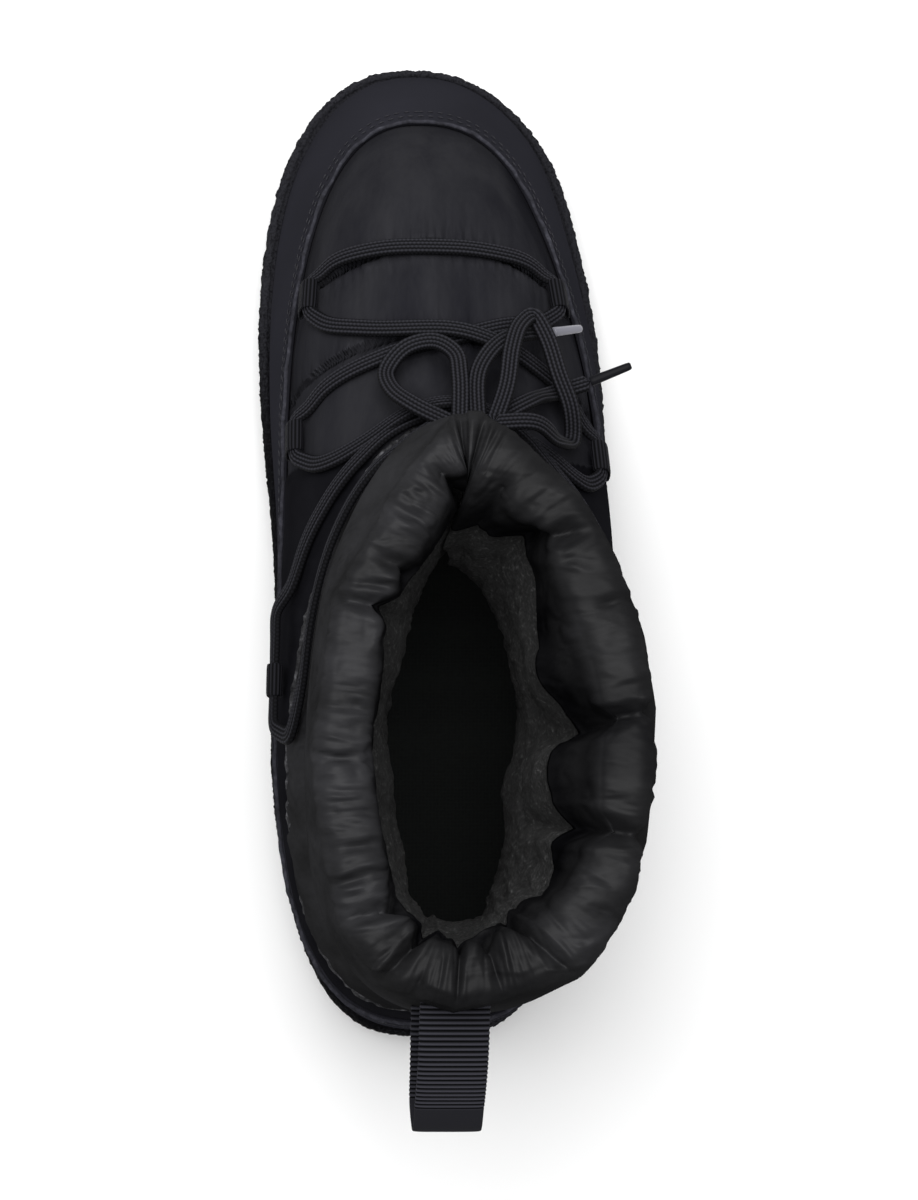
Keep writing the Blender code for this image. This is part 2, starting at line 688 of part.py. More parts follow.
def dress(pieces):
    """Gives each piece its finish and smooth shading, and puts it in the boot's own collection."""
    boot = bpy.data.collections.new("winter_boot")
    bpy.context.scene.collection.children.link(boot)
    finishes = make_finishes()
    for piece in pieces:
        start = max((name for name in finishes if piece.name.startswith(name)), key=len)
        piece.data.materials.append(finishes[start])
        if piece.type == "MESH":
            piece.data.shade_smooth()
            piece.data.set_sharp_from_angle(angle=SHARP_EDGE)
        for holder in piece.users_collection:
            holder.objects.unlink(piece)
        boot.objects.link(piece)


def main():
    for old in list(bpy.data.objects):
        bpy.data.objects.remove(old)
    make_outsole()
    make_upper()
    make_rand()
    make_insole()
    make_lace()
    make_bow()
    make_pull_loop()
    dress(list(bpy.data.objects))


main()
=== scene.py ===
"""Looks of a padded winter boot for the right foot: dressed surfaces, lace, finishes, floor, light, camera.

Sizes are in millimetres in the boot's own frame: X to the outer side of the foot, Y from heel to toe,
Z up from the ground. MM turns them into metres when a mesh is made.
"""

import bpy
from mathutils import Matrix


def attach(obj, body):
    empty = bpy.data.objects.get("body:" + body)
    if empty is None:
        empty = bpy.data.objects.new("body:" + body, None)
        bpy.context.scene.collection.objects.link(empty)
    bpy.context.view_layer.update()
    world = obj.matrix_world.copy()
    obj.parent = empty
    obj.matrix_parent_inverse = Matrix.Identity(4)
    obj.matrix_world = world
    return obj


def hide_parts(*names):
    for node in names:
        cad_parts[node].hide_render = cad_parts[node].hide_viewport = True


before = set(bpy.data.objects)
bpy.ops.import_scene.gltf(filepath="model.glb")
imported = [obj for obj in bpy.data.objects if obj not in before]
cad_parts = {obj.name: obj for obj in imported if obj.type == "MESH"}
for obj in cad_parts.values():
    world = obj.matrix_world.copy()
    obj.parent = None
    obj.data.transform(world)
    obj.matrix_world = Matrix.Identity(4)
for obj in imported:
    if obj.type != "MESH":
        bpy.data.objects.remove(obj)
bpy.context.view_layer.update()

import math

import bpy
import numpy as np
from mathutils import Matrix, Vector
from mathutils.bvhtree import BVHTree

MM = 0.001
GAP = 0.3

# The sole, with the same sizes as its solid.
TOE_Y = 234.0
HEEL_Y = -42.0
SOLE_HALF_WIDTH = 48.7
SOLE_WIDEST_Y = 135.0
SOLE_FRONT_POWER = 2.28
SOLE_BACK_POWER = 3.05
WAIST_INSET = 2.5
WAIST_Y = 78.0
WAIST_REACH = 58.0
HEEL_THICKNESS = 28.0
BALL_THICKNESS = 22.5
HEEL_TO_BALL_Y = (15.0, 130.0)
TOE_SPRING = 12.0
TOE_BREAK_Y = 176.0
HEEL_BEVEL = 3.0
HEEL_FLAT_END_Y = -26.0
ARCH_RISE = 3.0
ARCH_Y = (30.0, 104.0)
LUG_DEPTH = 4.5
LUG_ROOT = 2.0
LUG_GAP = 5.0
LUG_EDGE = 5.0
LUG_TAPER = 0.86
LIP_DROP = 1.4
SOLE_MIDDLE_Y = (TOE_Y + HEEL_Y) / 2
TOE_SPRING_POWER = 1.7
LIP_TOE_SPRING = 0.9
# The toe is eased to the photograph: its end blunter, its outer corner fuller.
TOE_BLUNT = 3.2
TOE_BLUNT_Y = 196.0
TOE_FULLER = 1.5
TOE_FULLER_Y = 206.0
TOE_FULLER_REACH = 19.0
TOE_CORNER_X = 28.0
# The crepe side: sizes of its coarse and fine grain, and how far they stand out.
CREPE_COARSE = (1.5, 1.5, 1.3)
CREPE_FINE = (0.9, 0.9, 0.8)
CREPE_DEPTH = 0.55
CREPE_LIP_DEPTH = 0.35
DEEPEST_INSET = 5.0
SOLE_SIDE_STEPS = 52
CAP_SHARES = (0.0, 0.25, 0.5, 0.75, 0.95)
LUG_POWER = 0.22

# Sideways place of the foot's middle line at each length.
CENTRE_COLUMNS = ("y", "x")
CENTRE_ROWS = {
    "heel end": (-42.0, -1.0),
    "heel": (35.0, 0.2),
    "waist": (107.0, 1.4),
    "ball": (165.0, -1.9),
    "toes": (200.0, -4.2),
    "toe end": (234.0, -6.0),
}

# The side of the sole from the tread up: inset from the outline, and share of the height.
SOLE_SIDE_COLUMNS = ("inset", "height")
SOLE_SIDE_ROWS = {
    "tread edge": (4.2, 0.0),
    "foot of the side": (1.3, 0.06),
    "lower rib": (0.2, 0.16),
    "lower rib top": (0.2, 0.40),
    "step": (1.5, 0.45),
    "step top": (1.5, 0.54),
    "upper rib": (0.0, 0.60),
    "upper rib top": (0.0, 0.93),
    "lip": (0.8, 1.0),
    "lip inside": (2.1, 1.0),
    "lip floor": (2.6, 0.96),
}

# Rows of tread lugs: where a row lies, how long its lugs are and how many stand across it.
LUG_ROWS = {
    "heel end": (-26.0, 13.0, 2),
    "heel": (0.0, 20.0, 3),
    "heel front": (24.0, 13.0, 3),
    "ball back": (112.0, 13.0, 3),
    "ball": (131.0, 13.0, 3),
    "ball middle": (151.0, 15.0, 3),
    "ball front": (171.0, 13.0, 3),
    "toes": (190.0, 13.0, 3),
    "toe end": (210.0, 14.0, 2),
}

# The outer form of the upper, a row for each level from the sole to the collar.
FORM_COLUMNS = (
    "front_y", "front_z", "back_y", "back_z", "half_width",
    "widest_y", "front_power", "back_power", "front_taper", "wall",
)
FORM_ROWS = {
    "feather line": (228.0, 32.4, -36.5, 27.4, 43.4, 135.0, 2.28, 3.05, 0.00, 8.0),
    "rand middle": (224.5, 45.0, -38.0, 42.0, 44.4, 110.0, 2.30, 3.0, 0.00, 9.0),
    "rand top": (208.5, 60.0, -37.6, 56.0, 44.0, 70.0, 2.36, 2.9, 0.00, 10.0),
    "toe crown": (192.0, 71.5, -36.2, 69.0, 44.4, 56.0, 2.24, 2.7, 0.00, 11.0),
    "vamp": (168.0, 80.5, -35.2, 82.0, 43.6, 46.0, 2.16, 2.6, 0.00, 12.0),
    "instep": (143.0, 88.5, -34.6, 94.0, 42.0, 38.0, 2.10, 2.5, 0.00, 13.5),
    "ankle seam": (121.5, 99.0, -33.8, 104.0, 40.0, 33.0, 2.04, 2.45, 0.00, 14.0),
    "ankle": (108.5, 117.0, -36.2, 121.0, 42.4, 31.0, 2.00, 2.4, 0.03, 15.5),
    "shaft": (109.5, 139.0, -37.6, 141.0, 43.0, 30.0, 2.00, 2.4, 0.06, 16.5),
    "collar foot": (109.0, 160.0, -37.8, 161.0, 42.4, 29.0, 2.00, 2.42, 0.09, 17.5),
    "collar": (107.0, 180.0, -37.0, 180.0, 41.5, 28.0, 2.00, 2.42, 0.11, 16.0),
}
COLLAR_LEAN = 5.8
COLLAR_BOW = 3.5
COLLAR_BOW_REACH = 70.0
END_CROWDING = 0.45
FORM_STEPS = 361

# How many columns each dressed surface has round the boot.
SOLE_COLUMNS = 900
RAND_COLUMNS = 640
VAMP_COLUMNS = 600
SHAFT_COLUMNS = 600
INSOLE_RING_COLUMNS = 420

RAND_THICKNESS = 1.8
RAND_TOP_LEVEL = 0.2
INSOLE_CLEARANCE = 1.0
# The footbed from its foot over its cupped edge to the middle line: share of the width, and height.
FOOTBED_COLUMNS = ("share", "height")
FOOTBED_ROWS = {
    "underside middle": (0.0, 0.0),
    "underside": (0.5, 0.0),
    "underside edge": (0.98, 0.0),
    "foot of the edge": (0.995, 0.0),
    "edge": (1.0, 1.2),
    "edge top": (0.995, 2.8),
    "rim outside": (0.985, 3.6),
    "rim": (0.96, 3.9),
    "rim inside": (0.9, 3.7),
    "hollow edge": (0.8, 3.5),
    "hollow": (0.65, 3.4),
    "half way": (0.5, 3.4),
    "near the middle": (0.3, 3.4),
    "beside the middle": (0.12, 3.4),
    "middle": (0.0, 3.4),
}

# The seam under the padded shaft, which falls towards the heel.
ANKLE_SEAM_COLUMNS = ("y", "z")
ANKLE_SEAM_ROWS = {
    "heel end": (-45.0, 63.0),
    "heel": (-15.0, 66.0),
    "under the ankle": (20.0, 74.0),
    "ankle": (51.0, 84.5),
    "front of the ankle": (80.0, 95.0),
    "instep": (105.0, 100.5),
    "front": (130.0, 102.0),
}

# Sewn lines across the vamp: the place on the middle line, and how fast the line falls back to the sides.
QUILT_COLUMNS = ("middle_y", "middle_x", "fall")
QUILT_ROWS = {
    "front line": (170.0, -1.5, 0.0098),
    "rear line": (143.8, -3.0, 0.0098),
}
QUARTER_EDGE_Y = 108.6
QUARTER_EDGE_SOFT = 0.8
QUARTER_LIFT = 0.7
VAMP_PUFF = 0.9
CHANNEL_DEPTH = 0.35
CHANNEL_PITCH = 27.0
CHANNEL_X = 6.0
QUILT_DEPTH = 1.6
QUILT_WIDTH = 1.3
QUILT_PULL = 1.0
QUILT_PULL_WIDTH = 7.0
CLOTH_BACK = 3.0


def hex_colour(code, alpha=1.0):
    """An sRGB hex code as linear red, green, blue and alpha."""
    parts = np.array([int(code[k:k + 2], 16) for k in (1, 3, 5)]) / 255
    linear = np.where(parts <= 0.04045, parts / 12.92, ((parts + 0.055) / 1.055) ** 2.4)
    return (*linear.tolist(), alpha)


def columns(names, rows):
    """The rows of a table as one array for each named column."""
    return dict(zip(names, np.array(list(rows.values()), float).T))


def lengths_along(path):
    """Lengths along an open path from its first point."""
    return np.concatenate([[0.0], np.cumsum(np.linalg.norm(np.diff(path, axis=0), axis=1))])


def arc_round(ring):
    """Lengths along a closed ring from its first point, with the whole length last."""
    return lengths_along(np.concatenate([ring, ring[:1]]))


def full_turn(count):
    """Angles evenly round a circle."""
    return np.linspace(0.0, 2 * math.pi, count, endpoint=False)


def rounded(value, power):
    """A power that keeps the sign, which makes a circle's section squarer or rounder."""
    return np.sign(value) * np.abs(value) ** power


def smooth(values, knots, at):
    """A cubic curve through values at knots, each slope taken from the neighbouring rows."""
    slopes = np.gradient(values, knots)
    i = np.clip(np.searchsorted(knots, at, side="right") - 1, 0, len(knots) - 2)
    span = knots[i + 1] - knots[i]
    t = (at - knots[i]) / span
    start = values[i] * (1 + 2 * t) + slopes[i] * span * t
    end = values[i + 1] * (3 - 2 * t) + slopes[i + 1] * span * (t - 1)
    return start * (1 - t) ** 2 + end * t ** 2


def step(low, high, at):
    """Rises from 0 at low to 1 at high with level ends."""
    t = np.clip((at - low) / (high - low), 0.0, 1.0)
    return t * t * (3 - 2 * t)


def bell(distance, width):
    """A soft hump: 1 at no distance, falling as the exponential of minus the squared share of the width."""
    return np.exp(-(distance / width) ** 2)


def unit(rows):
    """Vectors along the last axis, each made one long."""
    return rows / np.linalg.norm(rows, axis=-1, keepdims=True)


def lumps(places, size, seed):
    """Smooth random heights from -1 to 1: numbers on a lattice of this size, blended between its corners."""
    lattice = np.random.default_rng(seed).uniform(-1.0, 1.0, (32, 32, 32))
    at = places / np.asarray(size, float)
    low = np.floor(at).astype(int)
    share = at - low
    share = share * share * (3 - 2 * share)
    total = 0.0
    for corner in np.ndindex(2, 2, 2):
        weight = np.prod(np.where(corner, share, 1 - share), axis=-1)
        i, j, k = np.moveaxis((low + corner) % 32, -1, 0)
        total = total + weight * lattice[i, j, k]
    return total


def flat_lumps(x, y, size, seed):
    """Smooth random heights over a plane."""
    return lumps(np.stack([x, y, np.zeros_like(x)], axis=-1), size, seed)


def centre_x(y):
    """The sideways place of the foot's middle line."""
    table = columns(CENTRE_COLUMNS, CENTRE_ROWS)
    return smooth(table["x"], table["y"], y)


def toe_rise(y):
    """How far the toe spring lifts the sole."""
    return TOE_SPRING * np.clip((y - TOE_BREAK_Y) / (TOE_Y - TOE_BREAK_Y), 0.0, 1.0) ** TOE_SPRING_POWER


def sole_bottom(y):
    """Height of the tread: flat at heel and ball, raised in the arch, at the toe and at the heel end."""
    bevel = HEEL_BEVEL * np.clip((HEEL_FLAT_END_Y - y) / (HEEL_FLAT_END_Y - HEEL_Y), 0.0, 1.0) ** 2
    along = np.clip((y - ARCH_Y[0]) / (ARCH_Y[1] - ARCH_Y[0]), 0.0, 1.0)
    return toe_rise(y) + bevel + ARCH_RISE * np.sin(math.pi * along) ** 2


def sole_top(y):
    """Height of the lip round the sole, which falls from heel to ball and follows the toe spring."""
    fall = step(*HEEL_TO_BALL_Y, y)
    return HEEL_THICKNESS + (BALL_THICKNESS - HEEL_THICKNESS) * fall + LIP_TOE_SPRING * toe_rise(y)


def cup_floor(y):
    """Height of the sole's inside under its lip, where upper, rand and footbed stand."""
    return sole_top(y) - LIP_DROP + GAP


def waist(y):
    """How far the sides draw in between heel and ball."""
    return WAIST_INSET * np.cos(np.clip((y - WAIST_Y) / WAIST_REACH, -1, 1) * math.pi / 2) ** 2


def rounded_toe(x, y):
    """The toe's outline eased to the photograph: its end a little blunter, its outer corner fuller."""
    corner = np.clip((x - centre_x(y)) / TOE_CORNER_X, 0.0, 1.0)
    fuller = TOE_FULLER * bell(y - TOE_FULLER_Y, TOE_FULLER_REACH) * corner
    return x + fuller, y - TOE_BLUNT * np.clip((y - TOE_BLUNT_Y) / (TOE_Y - TOE_BLUNT_Y), 0.0, 1.0) ** 2


def half_plan(front_y, back_y, half_width, widest_y, front_power, back_power, taper, points):
    """Half an outline from front to back: two quarter superellipses, points crowded towards the ends."""
    angle = np.linspace(0.0, math.pi, 2001)
    along, across = np.cos(angle), np.sin(angle)
    power = np.where(along >= 0, front_power, back_power)
    reach = np.where(along >= 0, front_y - widest_y, widest_y - back_y)
    y = widest_y + reach * rounded(along, 2 / power)
    x = half_width * np.abs(across) ** (2 / power) * (1 - taper * np.clip(along, 0, 1))
    length = np.concatenate([[0.0], np.cumsum(np.hypot(np.diff(x), np.diff(y)))])
    share = np.linspace(0.0, 1.0, points + 1)
    share = share - END_CROWDING * np.sin(2 * math.pi * share) / (2 * math.pi)
    return np.interp(share * length[-1], length, x), np.interp(share * length[-1], length, y)


def closed_plan(x, y, draw_in):
    """Both sides of an outline: down the outer side from the front, then up the inner side."""
    x = np.maximum(x - draw_in * np.clip(x / SOLE_HALF_WIDTH * 2, 0, 1), 0.0)
    return np.concatenate([x, -x[-2:0:-1]]), np.concatenate([y, y[-2:0:-1]])


FORM = columns(FORM_COLUMNS, FORM_ROWS)
FORM_KNOTS = np.linspace(0.0, 1.0, len(FORM_ROWS))


def form_value(name, level):
    """One column of the form table at levels between 0 and 1."""
    return smooth(FORM[name], FORM_KNOTS, np.asarray(level, float))


def form_ring(level, count):
    """Outer form of the upper at a level: its plan, with heights between the back and the front."""
    row = {name: float(form_value(name, level)) for name in FORM_COLUMNS}
    x, y = half_plan(
        row["front_y"], row["back_y"], row["half_width"], row["widest_y"],
        row["front_power"], row["back_power"], row["front_taper"], count // 2,
    )
    x, y = closed_plan(x, y, waist(y) * (1 - step(0.0, 0.3, level)))
    share = (y - row["back_y"]) / (row["front_y"] - row["back_y"])
    z = row["back_z"] + (row["front_z"] - row["back_z"]) * share
    foot = cup_floor(y)
    straight = FORM["back_z"][0] + (FORM["front_z"][0] - FORM["back_z"][0]) * share
    z = z + (foot - straight) * (1 - step(0.0, 0.35, level))
    bend = 1 - step(0.1, 0.8, level)
    lean = COLLAR_LEAN - COLLAR_BOW * ((y - row["widest_y"]) / COLLAR_BOW_REACH) ** 2
    x, y = rounded_toe(x + centre_x(y) * bend + lean * (1 - bend), y)
    return np.stack([x, y, z], axis=1)


def form_field(count):
    """The outer form as rings of places, and outward directions that are level at the sole and collar."""
    level = np.linspace(0.0, 1.0, FORM_STEPS)
    place = np.stack([form_ring(at, count) for at in level])
    along = np.roll(place, -1, axis=1) - np.roll(place, 1, axis=1)
    outward = unit(np.cross(np.gradient(place, axis=0), along))
    flat = np.maximum(1 - step(0.0, 0.04, level), step(0.93, 1.0, level))
    outward[..., 2] *= 1 - flat[:, None]
    return place, unit(outward)


def at_level(rings, level):
    """Rows of the form at a level for each column, blended between the two rings beside it."""
    at = np.clip(level, 0.0, 1.0) * (len(rings) - 1)
    low = np.clip(np.floor(at).astype(int), 0, len(rings) - 2)
    share = (at - low)[..., None]
    column = np.arange(rings.shape[1])
    return rings[low, column] * (1 - share) + rings[low + 1, column] * share


def seam_level(place):
    """The level at which each column of the form crosses the height of the ankle seam."""
    table = columns(ANKLE_SEAM_COLUMNS, ANKLE_SEAM_ROWS)
    y = np.clip(place[..., 1], table["y"][0], table["y"][-1])
    over = place[..., 2] - smooth(table["z"], table["y"], y)
    first = np.argmax(over > 0, axis=0)
    column = np.arange(place.shape[1])
    high, low = over[first, column], over[first - 1, column]
    return (first - high / (high - low)) / (len(place) - 1)


def at_corners(grid):
    """The four corners of each face between the rows and columns of a grid, on a third axis."""
    tall, wide = grid.shape[:2]
    corners = ((0, 0), (1, 0), (1, 1), (0, 1))
    return np.stack([grid[a:tall - 1 + a, b:wide - 1 + b] for a, b in corners], axis=2)


def surface(name, grid, material, wrap=(True, True), uv=None, folded=False, caps=False):
    """A mesh from a grid of places, rows then columns, each wrapped round or left open.

    uv gives the lengths of rows and columns for a map that follows the surface. folded joins the two sides
    of the first and of the last row on the middle line, and caps closes those rows.
    """
    rows, count, _ = grid.shape
    index = np.arange(rows * count).reshape(rows, count)
    if folded:
        half = count // 2
        index[[0, -1], half + 1:] = index[[0, -1], half - 1:0:-1]
    index = np.concatenate([index, index[:1]]) if wrap[0] else index
    index = np.concatenate([index, index[:, :1]], axis=1) if wrap[1] else index
    ends = [index[0, :-1].tolist(), index[-1, :-1][::-1].tolist()] if caps else []
    used, faces = np.unique(at_corners(index), return_inverse=True)
    mesh = bpy.data.meshes.new(name)
    places = grid.reshape(-1, 3)[used] * MM
    mesh.from_pydata(places.tolist(), [], faces.reshape(-1, 4).tolist() + ends)
    if uv is not None:
        down, across = np.meshgrid(uv[0], uv[1], indexing="ij")
        map_points = at_corners(np.stack([across, down], axis=-1))
        on_ends = np.zeros(2 * sum(map(len, ends)))
        layer = mesh.uv_layers.new(name="along")
        layer.data.foreach_set("uv", np.append(map_points, on_ends).astype(np.float32))
    return add_piece(name, mesh, material)


def blocks(name, places, material):
    """Many closed bodies in one mesh. Each is a stack of rings, its first and last ring capped."""
    number, rows, count, _ = places.shape
    index = np.arange(rows * count).reshape(rows, count)
    index = np.concatenate([index, index[:, :1]], axis=1)
    shift = np.arange(number)[:, None, None] * rows * count
    ends = np.stack([index[0, :-1], index[-1, :-1][::-1]])
    faces = (at_corners(index).reshape(-1, 4) + shift).reshape(-1, 4).tolist()
    faces += (ends + shift).reshape(-1, count).tolist()
    mesh = bpy.data.meshes.new(name)
    mesh.from_pydata((places.reshape(-1, 3) * MM).tolist(), [], faces)
    return add_piece(name, mesh, material)


def add_piece(name, mesh, material):
    """An object for a finished mesh, smoothly shaded and riding on the boot."""
    mesh.materials.append(material)
    mesh.validate()
    mesh.shade_smooth()
    piece = bpy.data.objects.new(name, mesh)
    bpy.context.scene.collection.objects.link(piece)
    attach(piece, "root")
    return piece


def mark(piece, name, values):
    """A named number for each vertex, which a material reads."""
    made = piece.data.attributes.new(name, "FLOAT", "POINT")
    made.data.foreach_set("value", np.asarray(values, np.float32).ravel())


def beads(name, centre, along, outward, half_sizes, material, rows=5, count=6):
    """Many small ellipsoids joined in one mesh: each has half sizes along, across and outward."""
    turn = full_turn(count)
    tilt = np.linspace(0.04, math.pi - 0.04, rows)[:, None]
    ball = np.stack([
        np.cos(tilt) * np.ones(count), np.sin(tilt) * np.cos(turn), np.sin(tilt) * np.sin(turn),
    ], axis=-1) * np.array(half_sizes)
    axes = np.stack([along, unit(np.cross(outward, along)), outward], axis=1)
    places = centre[:, None, None] + np.einsum("pqk,nkj->npqj", ball, axes)
    return blocks(name, places, material)


def feed(tree, made, inputs):
    """Gives a node's sockets their values, or links them to outputs."""
    for name, value in inputs.items():
        if isinstance(value, bpy.types.NodeSocket):
            tree.links.new(value, made.inputs[name])
        else:
            made.inputs[name].default_value = value


def node(tree, kind, inputs=None, output=0, **settings):
    """Adds a node with its settings and its inputs, and gives one of its outputs."""
    made = tree.nodes.new("ShaderNode" + kind)
    for name, value in settings.items():
        setattr(made, name, value)
    feed(tree, made, inputs or {})
    return made.outputs[output]


def new_material(name):
    """An empty material with its tree and its object coordinates."""
    material = bpy.data.materials.new(name)
    material.use_nodes = True
    return material, material.node_tree, node(material.node_tree, "TexCoord", output="Object")


def set_shader(tree, **values):
    """Sets the shader's sockets, named with underscores, to values or to outputs."""
    inputs = {name.replace("_", " "): value for name, value in values.items()}
    feed(tree, tree.nodes["Principled BSDF"], inputs)


def ramp(tree, factor, stops):
    """A colour ramp through stops of position and hex code."""
    colour = node(tree, "ValToRGB", {"Fac": factor})
    marks = colour.node.color_ramp.elements
    while len(marks) < len(stops):
        marks.new(0.5)
    for element, (position, code) in zip(marks, stops):
        element.position = position
        element.color = hex_colour(code)
    return colour


def per_metre(size_mm):
    """The texture scale that makes one repeat this many millimetres on Object coordinates in metres."""
    return 1.0 / (size_mm * MM)


def add_gloss(tree, code, roughness, normal):
    """Adds an even reflection, as woven cloth has, which doesn't grow bright at grazing angles."""
    gloss = node(
        tree, "BsdfAnisotropic", {"Color": hex_colour(code), "Roughness": roughness, "Normal": normal},
    )
    both = node(tree, "AddShader", {0: tree.nodes["Principled BSDF"].outputs["BSDF"], 1: gloss})
    tree.links.new(both, tree.nodes["Material Output"].inputs["Surface"])


def grained(name, kind, pattern, stops, bump=None, **values):
    """A finish whose colour follows one texture, and its relief too where bump gives strength and depth."""
    material, tree, place = new_material(name)
    grain = node(tree, kind, {"Vector": place, **pattern})
    if bump:
        values["Normal"] = node(tree, "Bump", {"Height": grain, "Strength": bump[0], "Distance": bump[1]})
    set_shader(tree, Base_Color=ramp(tree, grain, stops), **values)
    return material


def satin_nylon(name, threads, dark, light, shine, crinkle):
    """Woven satin nylon over padding: black with a soft silk gloss and fine streaks along the threads.

    The threads are the shares by which the streaks are squeezed on each axis, and crinkle is the strength of
    small crumples about 5 mm apart. The marks are a gather, which puckers the cloth, and a shade, which
    darkens its colour as painted shade inside the collar, on its facing and on the outer side and back of the
    roll.
    """
    material, tree, place = new_material(name)
    # Threads are about 0.2 mm apart, drawn as streaks of about 1 mm so that they show.
    stretch = node(tree, "Mapping", {"Vector": place, "Scale": threads})
    streaks = node(
        tree, "TexNoise", {"Vector": stretch, "Scale": per_metre(1.3), "Detail": 3.0, "Roughness": 0.6},
    )
    bands = node(tree, "TexNoise", {"Vector": stretch, "Scale": per_metre(14.0), "Detail": 2.0})
    # The colour follows the streaks and the broad bands, so the satin's streaky highlights are partly painted
    # into it and partly made by the gloss.
    share = node(tree, "Mix", {"Factor": 0.80, "A": streaks, "B": bands})
    bump = node(tree, "Bump", {"Height": streaks, "Strength": 0.06, "Distance": 0.0004})
    crumples = node(
        tree, "TexNoise", {"Vector": stretch, "Scale": per_metre(5.0), "Detail": 4.0, "Distortion": 0.5},
        noise_type="RIDGED_MULTIFRACTAL",
    )
    bump = node(tree, "Bump", {"Height": crumples, "Strength": crinkle, "Distance": 0.0025, "Normal": bump})
    # The gathers beside a sewn line are about 1.5 mm apart and fade with the gather mark.
    gather = node(tree, "Attribute", output="Fac", attribute_name="gather")
    squeeze = node(tree, "Mapping", {"Vector": place, "Scale": (1.0, 0.22, 0.5)})
    puckers = node(tree, "TexNoise", {"Vector": squeeze, "Scale": per_metre(1.9), "Detail": 1.0})
    pleat = node(tree, "Math", {0: puckers, 1: gather}, operation="MULTIPLY")
    bump = node(tree, "Bump", {"Height": pleat, "Strength": 1.0, "Distance": 0.0030, "Normal": bump})
    # The shade mark is painted shade: it darkens the colour on the facing inside the collar, on the roll's
    # outer side and back, and on the shaft's inside.
    shade = node(tree, "Attribute", output="Fac", attribute_name="shade")
    darkened_by_painted_shade = node(tree, "Math", {0: shade, 1: -0.40, 2: share}, operation="MULTIPLY_ADD")
    colour = ramp(tree, darkened_by_painted_shade, ((0.0, "#08080a"), (0.36, dark), (0.64, light)))
    gloss = node(
        tree, "MapRange", {"Value": share, "From Min": 0.3, "From Max": 0.7, "To Min": 0.50, "To Max": 0.36},
    )
    set_shader(tree, Base_Color=colour, Roughness=0.8, Normal=bump, Specular_IOR_Level=0.0)
    add_gloss(tree, shine, gloss, bump)
    return material


def coated_cloth():
    """Dull coated cloth of the quarters: darker than the nylon, smooth, with a faint blue cast."""
    material, tree, place = new_material("dull_coated_cloth")
    cloudy = node(tree, "TexNoise", {"Vector": place, "Scale": per_metre(14.0), "Detail": 4.0})
    grain = node(tree, "TexNoise", {"Vector": place, "Scale": per_metre(0.8), "Detail": 2.0})
    bump = node(tree, "Bump", {"Height": grain, "Strength": 0.12, "Distance": 0.0003})
    colour = ramp(tree, cloudy, ((0.30, "#0d0d10"), (0.70, "#131316")))
    set_shader(tree, Base_Color=colour, Roughness=0.8, Normal=bump, Specular_IOR_Level=0.0)
    add_gloss(tree, "#0a0a0b", 0.6, bump)
    return material


def coated_rand():
    """Smooth coated split leather: near black with a cool cast, even low gloss and a very fine grain."""
    material, tree, place = new_material("smooth_coated_rand")
    grain = node(tree, "TexVoronoi", {"Vector": place, "Scale": per_metre(0.9)}, feature="SMOOTH_F1")
    cloudy = node(tree, "TexNoise", {"Vector": place, "Scale": per_metre(30.0), "Detail": 4.0})
    bump = node(tree, "Bump", {"Height": grain, "Strength": 0.10, "Distance": 0.0002})
    colour = ramp(tree, cloudy, ((0.25, "#1d1d21"), (0.75, "#232328")))
    rough = node(tree, "MapRange", {"Value": cloudy, "To Min": 0.46, "To Max": 0.56})
    set_shader(tree, Base_Color=colour, Roughness=0.8, Normal=bump, Specular_IOR_Level=0.0)
    add_gloss(tree, "#101013", rough, bump)
    return material


def gathered_tape():
    """Gathered seam edge: paler than the nylon and dull, with light spots at random along it."""
    return grained(
        "gathered_seam_edge", "TexNoise", {"Scale": per_metre(2.2), "Detail": 3.0, "Roughness": 0.7},
        ((0.35, "#1c1c1e"), (0.55, "#3a3a3c"), (0.75, "#6c6c70")), (0.4, 0.0004),
        Roughness=0.8, Specular_IOR_Level=0.05,
    )


def bound_edge():
    """The cut edge of the rand, whose grey core shows: dull, slightly warm and a little worn."""
    return grained(
        "cut_edge_grey_core", "TexNoise", {"Scale": per_metre(2.4), "Detail": 4.0, "Roughness": 0.7},
        ((0.30, "#242427"), (0.55, "#34343a"), (0.80, "#4c4c53")), (0.3, 0.0003),
        Roughness=0.8, Specular_IOR_Level=0.0,
    )


def fleece():
    """Knitted black fleece: no gloss, a soft sheen at grazing angles and a tufted pile whose palest tops are
    painted glints of light on the fibres.
    """
    return grained(
        "black_pile_fleece", "TexNoise", {"Scale": per_metre(1.2), "Detail": 6.0, "Roughness": 0.75},
        ((0.36, "#101010"), (0.56, "#262626"), (0.74, "#666666")), (0.9, 0.0012),
        Roughness=0.95, Sheen_Weight=0.05, Sheen_Roughness=0.6, Specular_IOR_Level=0.05,
    )


def footbed_cloth():
    """Flat black felt-backed cloth: dull, with a fine cross weave of about 0.6 mm, drawn at 1 mm to show."""
    return grained(
        "flat_footbed_cloth", "TexVoronoi", {"Scale": per_metre(1.0), "Randomness": 0.3},
        ((0.0, "#151616"), (1.0, "#1e201f")), (0.3, 0.0003), Roughness=0.9, Specular_IOR_Level=0.08,
    )


def sewing_thread():
    """Bonded nylon thread: dark grey with a small round gloss."""
    return grained(
        "bonded_sewing_thread", "TexNoise", {"Scale": per_metre(0.6), "Detail": 2.0},
        ((0.3, "#202024"), (0.7, "#2e2e33")), Roughness=0.6, Specular_IOR_Level=0.1,
    )


def matte_floor():
    """Plain pale studio paper: almost white, without gloss."""
    return grained(
        "pale_matte_floor", "TexNoise", {"Scale": per_metre(400.0), "Detail": 2.0},
        ((0.3, "#f4f4f4"), (0.7, "#f8f8f8")), Roughness=0.9, Specular_IOR_Level=0.1,
    )


